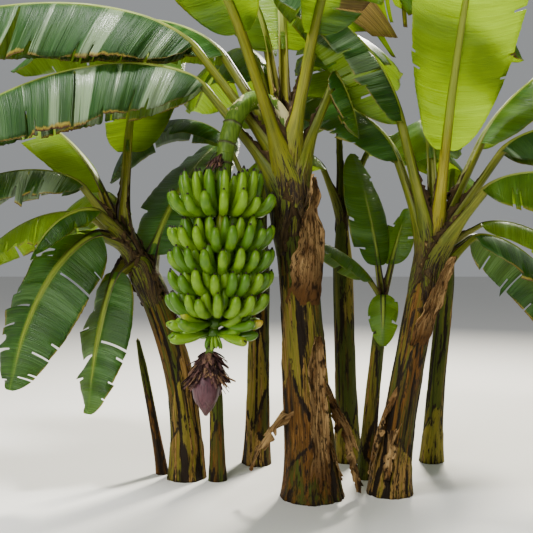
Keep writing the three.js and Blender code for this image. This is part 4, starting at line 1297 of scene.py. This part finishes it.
def stalk_piece(name, first, last, sides):
    """A length of the fruit stalk with its scars, closed at both ends."""
    points = stalk_line[int(first):int(last)]
    share = np.linspace(first, last, len(points))[:, None] / STALK_STEPS
    side = unit(np.cross(unit(np.gradient(points, axis=0)), (0.1, 1, 0)))
    other = np.cross(unit(np.gradient(points, axis=0)), side)
    angle = np.linspace(0, 2 * math.pi, sides, endpoint=False)
    ring = sum(np.exp(-((points[:, 2:] - scar) / SCAR_HALF) ** 2) for scar in SCARS) * (share > FALLING)
    radius = np.interp(share, STALK_SHARES, STALK_RADII) * (1 + 0.02 * np.sin(share * 90)) + SCAR_STEP * ring
    reach = radius * (1 + 0.03 * np.sin(5 * angle) + 0.02 * np.sin(9 * angle + share * 30))
    rows = (points[:, None] + side[:, None] * (reach * np.cos(angle))[..., None]
            + other[:, None] * (reach * np.sin(angle))[..., None])
    marks = {"share": vectors(smooth(0.3, 0.1, share), np.clip(ring, 0, 1), 0 * angle)}
    rows, marks = capped(rows, marks, points[0], points[-1])
    piece = skin(name, rows, {"spot": rows * 0.001, **marks}, rolled=True)
    piece.data.materials.append(stalk_finish)
    settle(join([piece]), "stalk", name)


stalk_piece("fruit_stalk_arch", 0, STALK_STEPS * STALK_SPLIT + 1, 24)
stalk_piece("fruit_stalk_hanging", STALK_STEPS * STALK_SPLIT, STALK_STEPS, 20)

# %% [markdown]
# ## Fruit finish
#
# Green bananas are yellow-green, darker at the neck. A painted highlight lies on their blunt ridges
# and painted shade in the valleys between them. Each finger has a shade of its own, a few start to
# ripen at the end, and all have a small black tip, the remains of the flower. `share` runs along a
# finger and round its ridges, and its third number is the finger's own.

# %% Fruit finish
SKIN_GREEN = ((0.062, 0.16, 0.002), (0.145, 0.28, 0.003))
# Painted shade for the valleys between the ridges, and a painted highlight for the ridges
PAINTED_VALLEY_SHADE = (0.045, 0.125, 0.002)
PAINTED_RIDGE_HIGHLIGHT = (0.3, 0.44, 0.014)
NECK = (0.035, 0.095, 0.003)
RIPE = (0.6, 0.42, 0.03)
TIP = (0.018, 0.013, 0.008)

fruit_finish, wire = finish("green banana skin")
spot = wire.attribute("spot")
along, ridge, chance = wire.attribute("share").split()
soft = spot.noise((30, 30, 30), 3)
fine = spot.noise((180, 180, 40), 2)
colour = (soft + (chance - 0.5) * 0.7).rise(0.3, 0.7).tint(*SKIN_GREEN)
# Painted shade in the valleys, then a painted highlight on the ridges
colour = ((1 - ridge).rise(0.4, 1) * 0.45).tint(colour, PAINTED_VALLEY_SHADE)
colour = (ridge.rise(0.55, 1) * 0.5 * along.rise(0.1, 0.4)).tint(colour, PAINTED_RIDGE_HIGHLIGHT)
colour = (1 - along.rise(0.02, 0.22)).tint(colour, NECK)
colour = (chance.rise(0.985, 0.995) * along.rise(0.6, 0.9)).tint(colour, RIPE)
tip = (along + (fine - 0.5) * 0.02).rise(0.955, 0.972)
colour = tip.tint(colour, TIP)
gloss = 0.36 + tip * 0.4 + (soft - 0.5) * 0.1
surface(fruit_finish, wire, plain(wire, colour, gloss, fine.bump(0.001, 0.25), 0.36))

# %% [markdown]
# ## One finger
#
# A finger has five blunt ridges, a narrow neck and a small blunt tip. It is modelled once, straight
# and one unit long, from a circle that is extruded and resized level by level, and then ridged. A
# second mould with fewer levels serves for the fingers behind, of which little shows.


# %% Turned shapes
def turned(name, levels, sides):
    """A round shape: a circle extruded from level to level along Z, each a height and a radius."""
    bpy.ops.object.select_all(action="DESELECT")
    height, radius = levels[0]
    place = (0, 0, height)
    bpy.ops.mesh.primitive_circle_add(vertices=sides, radius=radius, fill_type="NGON", location=place)
    piece = bpy.context.object
    piece.name = name
    bpy.ops.object.transform_apply()
    bpy.ops.object.mode_set(mode="EDIT")
    bpy.ops.mesh.select_all(action="SELECT")
    for (low, old), (high, new) in zip(levels, levels[1:]):
        bpy.ops.mesh.extrude_region_move(TRANSFORM_OT_translate={"value": (0, 0, high - low)})
        bpy.ops.transform.resize(value=(new / old, new / old, 1))
    bpy.ops.mesh.select_all(action="SELECT")
    bpy.ops.mesh.normals_make_consistent(inside=False)
    bpy.ops.object.mode_set(mode="OBJECT")
    return piece


def corners(piece):
    """The points of a piece's mesh as an array."""
    flat = np.empty(len(piece.data.vertices) * 3)
    piece.data.vertices.foreach_get("co", flat)
    return flat.reshape(-1, 3)


def place_on_stalk(piece, height, share, material):
    """Moves a turned shape's points to the stalk at a height, and gives it its marks and finish."""
    points = corners(piece) + stalk_at(height) * 0.001
    piece.data.vertices.foreach_set("co", points.ravel())
    mark(piece, spot=points, share=share)
    piece.data.materials.append(material)


# %% Finger moulds
FINGER = [
    (0, 9), (0.08, 9.5), (0.15, 11.5), (0.23, 16.5), (0.34, 19.8), (0.5, 21), (0.66, 21), (0.78, 20.3),
    (0.87, 18), (0.93, 13.5), (0.962, 8), (0.97, 5), (0.99, 4.6), (1, 3.2),
]  # places along it and radii in millimetres
FINGER_SIDES = 10
RIDGES = 5
RIDGE_HEIGHT = 0.075


def finger_mould(levels):
    """A straight finger one unit long with its ridges: its points, faces and marks."""
    piece = turned("finger", [(along, radius * 0.001) for along, radius in levels], FINGER_SIDES)
    points = corners(piece)
    ridge = 0.5 + 0.5 * np.cos(RIDGES * np.arctan2(points[:, 1], points[:, 0]))
    points[:, :2] *= (1000 * (0.955 + RIDGE_HEIGHT * ridge))[:, None]
    faces = [tuple(face.vertices) for face in piece.data.polygons]
    bpy.data.objects.remove(piece)
    return points, faces, vectors(points[:, 2], ridge, 0)


outer_mould = finger_mould(FINGER)
inner_mould = finger_mould(FINGER[::2] + FINGER[-1:])
print("faces of a finger:", len(outer_mould[1]), "and behind it:", len(inner_mould[1]))

# %% [markdown]
# ## Hands of fruit
#
# Each hand is a cushion on the stalk with two or three rows of fingers that leave it outwards and
# curve up. The lower hands are smaller, lie flatter and leave a gap in front where the stalk shows.
# A finger is a copy of a mould, bent along its own curve, and all fingers of a hand are joined.


# %% Bending and joining
def bent_finger(mould, start, control, end, fat, chance):
    """A copy of a mould, bent along a curve from start to end: its points, faces and marks."""
    points, faces, share = mould
    t = points[:, 2:]
    tangent = unit(2 * (1 - t) * (control - start) + 2 * t * (end - control))
    out = (end - start) * (1, 1, 0)
    across = np.array([-out[1], out[0], 0]) / max(np.linalg.norm(out), 1e-6)
    above = np.cross(tangent, across)
    points = bow(start, control, end, t) + across * points[:, :1] * fat + above * points[:, 1:2] * fat
    return points, faces, share + (0, 0, chance)


def many(name, copies, material):
    """One mesh of many small shapes, each given as its points in millimetres, faces and share."""
    mesh = bpy.data.meshes.new(name)
    faces, start = [], 0
    for points, shape, _ in copies:
        faces += [tuple(corner + start for corner in face) for face in shape]
        start += len(points)
    points = np.vstack([copy[0] for copy in copies]) * 0.001
    mesh.from_pydata(points.tolist(), [], faces)
    piece = bpy.data.objects.new(name, mesh)
    bpy.context.collection.objects.link(piece)
    mark(piece, spot=points, share=np.vstack([copy[2] for copy in copies]))
    piece.data.materials.append(material)
    return piece


# %% Rows of fingers
UP = np.array([0, 0, 1])
FINGER_DROOP = 34
SMALL_FINGERS = 11
SMALL_FINGERS_TOP = 768


def finger_row(hand, mould, count, turn, reach, lift, droop, rng):
    """The fingers of one row round the stalk."""
    centre = stalk_at(hand["height"])
    copies = []
    for i in range(count):
        around = math.radians(hand["gap"] / 2 + (360 - hand["gap"]) * (i + turn) / count) - math.pi / 2
        around += rng.normal(0, 0.035)
        out = np.array([math.cos(around), math.sin(around), 0])
        flank = abs(math.cos(around))
        far = reach * rng.uniform(0.95, 1.02)
        start = centre + out * hand["cushion"] * 0.7
        control = centre + out * far * lerp(1.02, 0.95, flank) - UP * droop
        end = centre + out * (far + lerp(-20, 4, flank)) + UP * (lift + rng.normal(0, 9))
        copies.append(bent_finger(mould, start, control, end, rng.uniform(1.0, 1.14), rng.uniform(0, 1)))
    return copies


def small_fingers(rng):
    """The tuft of fingers under the last hand that never filled out."""
    copies = []
    for i in range(SMALL_FINGERS):
        around = 2 * math.pi * (i + rng.uniform(-0.2, 0.2)) / SMALL_FINGERS
        out = np.array([math.cos(around), math.sin(around), 0])
        start = stalk_at(SMALL_FINGERS_TOP) + out * 15
        end = start + out * rng.uniform(10, 32) - UP * rng.uniform(56, 74)
        control = (start + end) / 2 + out * 8
        fat, chance = rng.uniform(0.34, 0.46), rng.uniform(0, 1)
        copies.append(bent_finger(inner_mould, start, control, end, fat, chance))
    return copies


# %% Hands
HANDS = [
    dict(height=1305, reach=234, lift=86, outer=17, inner=14, inner_lift=178, gap=0, cushion=56),
    dict(height=1151, reach=230, lift=96, outer=18, inner=15, inner_lift=138, gap=0, cushion=56),
    dict(height=1055, reach=226, lift=94, outer=18, inner=14, inner_lift=116, gap=0, cushion=54),
    dict(height=960, reach=222, lift=90, outer=18, inner=14, inner_lift=112, gap=0, cushion=52),
    dict(height=872, reach=214, lift=78, outer=17, inner=13, inner_lift=102, gap=0, cushion=46),
    dict(height=818, reach=206, lift=26, outer=11, inner=8, inner_lift=66, gap=72, cushion=32),
    dict(height=772, reach=190, lift=0, outer=9, inner=6, inner_lift=30, gap=84, cushion=28),
]
CUSHION = [(-0.024, 0.4), (-0.014, 0.86), (0, 1), (0.016, 0.9), (0.024, 0.42)]
INNERMOST_ROW = 11  # fingers of the third row, which only the full hands have


def hand_piece(order, hand):
    """A hand: its rows of fingers on their cushion."""
    rng = np.random.default_rng(order)
    reach, lift = hand["reach"], hand["inner_lift"]
    turn = 0.25 + 0.5 * (order % 2)
    copies = finger_row(hand, outer_mould, hand["outer"], turn, reach, hand["lift"], FINGER_DROOP, rng)
    copies += finger_row(hand, inner_mould, hand["inner"], 0.4, reach * 0.74, lift, FINGER_DROOP * 0.3, rng)
    if hand["gap"] == 0:
        lift += 22 if order else 8  # the top hand closes lower
        copies += finger_row(hand, inner_mould, INNERMOST_ROW, 0.1, reach * 0.46, lift, 0, rng)
    if order == len(HANDS) - 1:
        copies += small_fingers(rng)
    fingers = many("fingers", copies, fruit_finish)
    cushion = turned("cushion", [(up, share * hand["cushion"] * 0.001) for up, share in CUSHION], 20)
    share = np.zeros_like(corners(cushion)) + (0.02, 0, 0.5)
    place_on_stalk(cushion, hand["height"], share, fruit_finish)
    settle(join([fingers, cushion]), "fruit", f"hand_{order + 1}")


for order, hand in enumerate(HANDS):
    hand_piece(order, hand)

# %% [markdown]
# ## The bud
#
# The bud is a pointed roll of bracts that overlap like tiles, dull purple with a grey bloom. Its
# core is turned, as a finger is, and six pointed, spoon-shaped sheets lie on it. The last of them
# stands off at its tip, because it is about to drop.

# %% Bud finish
bud_finish, wire = finish("purple bract")
spot = wire.attribute("spot")
across, place, _ = wire.attribute("share").split()
lines = spot.noise((150, 150, 9), 3)
cloud = spot.noise((26, 26, 14), 3)
colour = lines.rise(0.3, 0.7).tint((0.035, 0.008, 0.013), (0.1, 0.03, 0.038))
colour = (cloud.rise(0.35, 0.75) * 0.45).tint(colour, (0.15, 0.085, 0.1))
colour = ((place + (cloud - 0.5) * 0.3).rise(0.8, 1.05) * 0.7).tint(colour, (0.06, 0.03, 0.025))
colour = ((across * across).rise(0.8, 1.0) * 0.5).tint(colour, (0.2, 0.12, 0.08))
surface(bud_finish, wire, plain(wire, colour, 0.52, lines.bump(0.002, 0.5), 0.32))

# %% Bracts
BUD_TOP = 616
BUD_LENGTH = 214
BUD_PROFILE = np.array([(0, 20), (0.12, 44), (0.34, 60), (0.6, 52), (0.82, 30), (1, 5)])
BRACTS = [  # heading, half width in degrees, first and last share of the bud, lift at the tip
    (250, 74, 0.02, 0.93, 0), (20, 70, 0.02, 0.9, 1.5), (135, 72, 0.02, 0.95, 1),
    (305, 62, 0.0, 0.78, 3), (195, 60, 0.0, 0.74, 3), (50, 46, 0.0, 0.62, 34),
]


def bud_radius(share):
    return np.interp(share, BUD_PROFILE[:, 0], BUD_PROFILE[:, 1])


def bract(heading, wide, first, last, lift, chance):
    """One bract: a pointed, spoon-shaped sheet on the bud."""
    t = np.linspace(0, 1, 26)[:, None]
    a = np.linspace(-1, 1, 15)
    share = lerp(first, last, t)
    outline = np.sin(math.pi * (0.2 + 0.8 * t) ** 0.8) ** 0.6
    angle = math.radians(heading) + np.radians(wide) * a * outline
    radius = (bud_radius(share) + 1.5 + lift * t ** 2) * (1.0 - 0.05 * a ** 2)
    around = vectors(radius * np.cos(angle), radius * np.sin(angle), -share * BUD_LENGTH)
    points = stalk_at(BUD_TOP) + around
    sheet = skin("bract", points, {"spot": points * 0.001, "share": vectors(a, t, chance)})
    thicken(sheet, 2.5)
    sheet.data.materials.append(bud_finish)
    return sheet


# %% Bud
CORE_SHARE = 0.96  # the core's radius beside the bud's

levels = np.linspace(0, 0.985, 24)
core = turned("bud", [(-s * BUD_LENGTH * 0.001, bud_radius(s) * CORE_SHARE * 0.001) for s in levels], 24)
depth = -corners(core)[:, 2] / BUD_LENGTH * 1000
place_on_stalk(core, BUD_TOP, vectors(0, depth, 0), bud_finish)
bracts = [bract(*shape, order * 0.17) for order, shape in enumerate(BRACTS)]
settle(join([core, *bracts]), "bud", "flower_bud")

# %% [markdown]
# ## Withered flowers
#
# Above the bud hang the dried flowers and bracts that the fruit grew out of, and a few more cling
# to the stalk over the first hand. They are dark, curled, brittle strips, all of one shape: seven
# rings of four corners, bent and twisted by chance. On the front they are shorter and sit higher,
# so that the bud shows under them.

# %% Withered finish
withered_finish, wire = finish("withered flowers")
spot = wire.attribute("spot")
chance = wire.attribute("share").split()[2]
fibres = spot.noise((90, 90, 90), 3)
colour = (fibres + (chance - 0.5) * 0.9).rise(0.2, 0.8).tint((0.02, 0.01, 0.01), (0.13, 0.065, 0.055))
colour = (chance.rise(0.7, 0.8) * fibres.rise(0.3, 0.6)).tint(colour, (0.27, 0.16, 0.075))
surface(withered_finish, wire, plain(wire, colour, 0.85, fibres.bump(0.003, 0.8), PAPER_SHINE))

# %% One shred
SHRED_RINGS = 7
SHRED_SIDES = [
    (ring * 4 + k, ring * 4 + (k + 1) % 4, ring * 4 + 4 + (k + 1) % 4, ring * 4 + 4 + k)
    for ring in range(SHRED_RINGS - 1) for k in range(4)
]
SHRED_FACES = [*SHRED_SIDES, (3, 2, 1, 0), (24, 25, 26, 27)]


def shred(rng, root, out, length, width, droop, curl):
    """A narrow dry strip that leaves its root outwards and hangs: rings of four corners."""
    t = np.linspace(0, 1, SHRED_RINGS)[:, None]
    across = unit(np.cross(out, UP))
    path = root + out * length * t - UP * droop * t ** 2 + across * curl * np.sin(t * 3)
    half = width / 2 * np.sin(math.pi * (0.2 + 0.7 * t)) ** 0.6 + 0.4
    twist = curl * 0.05 * t + rng.uniform(-0.5, 0.5)
    flat = across * np.cos(twist) + UP * np.sin(twist)
    thick = np.cross(flat, out) * width * 0.14
    rings = [path + flat * half, path + thick + flat * 0.3, path - flat * half, path + thick * 0.4]
    return np.stack(rings, axis=1).reshape(-1, 3)


# %% Shreds round the stalk
def shreds(name, seed, count, heights, root, slopes, lengths, widths, headings):
    """Dry strips round the stalk, dealt out between two heights."""
    rng = np.random.default_rng(seed)
    copies = []
    for _ in range(count):
        level = rng.uniform(0, 1)
        azimuth = math.radians(rng.uniform(*headings))
        facing = 0.5 * max(0, -math.sin(azimuth)) ** 3
        level = level * (1 - facing)
        slope = lerp(*slopes, level) + rng.normal(0, 0.16)
        out = unit(np.array([math.cos(azimuth), math.sin(azimuth), slope]))
        start = stalk_at(lerp(*heights, level)) + out * root
        length = rng.uniform(*lengths) * lerp(0.62, 1, level) * (1 - 0.5 * facing)
        width, droop, curl = rng.uniform(*widths), rng.uniform(8, 40), rng.uniform(-12, 12)
        points = shred(rng, start, out, length, width, droop, curl)
        share = np.zeros_like(points) + (0.5, 0, rng.uniform(0, 1))
        copies.append((points, SHRED_FACES, share))
    piece = many(name, copies, withered_finish)
    tidy(piece)
    return join([piece])


# %% Flowers and remains
flowers = shreds("flowers", seed=8, count=240, heights=(699, 608), root=18, slopes=(-0.75, -0.6),
                 lengths=(80, 126), widths=(15, 34), headings=(0, 360))
settle(flowers, "dry", "spent_flowers")
remains = shreds("remains", seed=9, count=30, heights=(1616, 1530), root=34, slopes=(-0.2, -0.9),
                 lengths=(50, 110), widths=(10, 24), headings=(110, 260))
stalk = join([bpy.data.objects["fruit_stalk_hanging_look"], remains])
print(stalk.name, "with its dry remains:", triangles(stalk), "triangles")

# %% [markdown]
# ## Dry sheaths
#
# The oldest sheaths dry to stiff tan paper with dark streaks. Each clasps its stem at the foot,
# where its ragged end sinks in, stands off higher up and curls at its long edges, and its top is
# torn to a point. It is a grid on the stem's own rule, so it lies on the stem wherever that leans.

# %% Sheath flaps
FLAPS = {
    "dry_sheath_main_low": dict(stem="main", low=64, high=756, az=(289, 293), arc=54, peel=44,
        width=((0, 0.3, 0.8, 0.93, 1), (1, 0.7, 0.6, 0.42, 0.1))),
    "dry_sheath_main_high": dict(stem="main", low=930, high=1480, az=(287, 325), arc=104, peel=34,
        width=((0, 0.3, 0.66, 0.74, 1), (1, 0.86, 0.46, 0.24, 0.1))),
    "dry_sheath_right": dict(stem="right", low=740, high=1110, az=(290, 302), arc=80, peel=58,
        width=((0, 0.4, 0.8, 1), (1, 0.7, 0.4, 0.12))),
}
FLAP_GRID = (80, 25)
FLAP_FOOT = 40  # how far the ragged foot reaches below the solid's
FLAP_CLASP = 0.3  # the share of its length that clasps the stem
FLAP_CURL = 26


def flap_outline(flap, share, a, rng):
    """The heading of each point of a flap, whose width narrows and frays towards its top."""
    narrow = np.interp(share, *flap["width"])
    narrow = narrow + 0.09 * ripple(share * 100, 9, rng) * smooth(0, 0.1, 1 - share)
    narrow = narrow + 0.04 * ripple(share * 100, 3, rng)
    middle = lerp(*flap["az"], share) + 4 * ripple(share * 100, 24, rng)
    return np.radians(middle + flap["arc"] / 2 * narrow * a)


def flap_reach(flap, height, share, a, rng):
    """How far each point of a flap lies from the stem's middle."""
    free = np.clip((share - FLAP_CLASP) / (1 - FLAP_CLASP), 0, 1)
    curl = FLAP_CURL * np.abs(a) ** 3 * smooth(0.05, 0.6, share) * (1 + 0.5 * ripple(share * 100, 14, rng))
    sink = 0.13 + 0.1 * ripple(a * 50, 7, rng) + 0.04 * ripple(a * 50, 2, rng)
    out = stem_radius(STEMS[flap["stem"]], height) * lerp(0.86, 1.05, smooth(0, sink, share)) + 3
    out = out + flap["peel"] * free ** 2 * 0.7 + curl
    return out + 4 * ripple(a * 50, 9, rng) * smooth(0, 0.2, share) + 12 * smooth(0.88, 1, share)


def flap_piece(name, flap, seed):
    """A dry sheath that peels off its stem."""
    rng = np.random.default_rng(seed)
    rows, columns = FLAP_GRID
    share = np.linspace(0, 1, rows)[:, None]
    a = np.linspace(-1, 1, columns)
    height = lerp(flap["low"] - FLAP_FOOT, flap["high"], share)
    angle = flap_outline(flap, share, a, rng)
    out = flap_reach(flap, height, share, a, rng)
    tip = 30 * ripple(a * 50, 12, rng) * share ** 6
    points = stem_axis(STEMS[flap["stem"]], height) + vectors(np.cos(angle) * out, np.sin(angle) * out, tip)
    points[..., 2] = np.minimum(points[..., 2], flap["high"])
    spot = vectors(a * flap["arc"] * 0.0016, height * 0.001, seed)
    piece = skin(name, points, {"spot": spot, "share": vectors(np.abs(a), share, 0), "tone": 0 * spot})
    thicken(piece, 3)
    piece.data.materials.append(dry_finish)
    settle(join([piece]), "dry", name)


for order, (name, flap) in enumerate(FLAPS.items()):
    flap_piece(name, flap, order + 40)

# %% [markdown]
# ## Triangles
#
# The triangles of all the pieces that show are counted and printed. The plant must stay inside
# the box of its solids.

# %% Triangles
shown = [o for o in bpy.context.scene.objects if o.type == "MESH" and not o.hide_render]
print("all triangles shown:", sum(triangles(piece) for piece in shown))
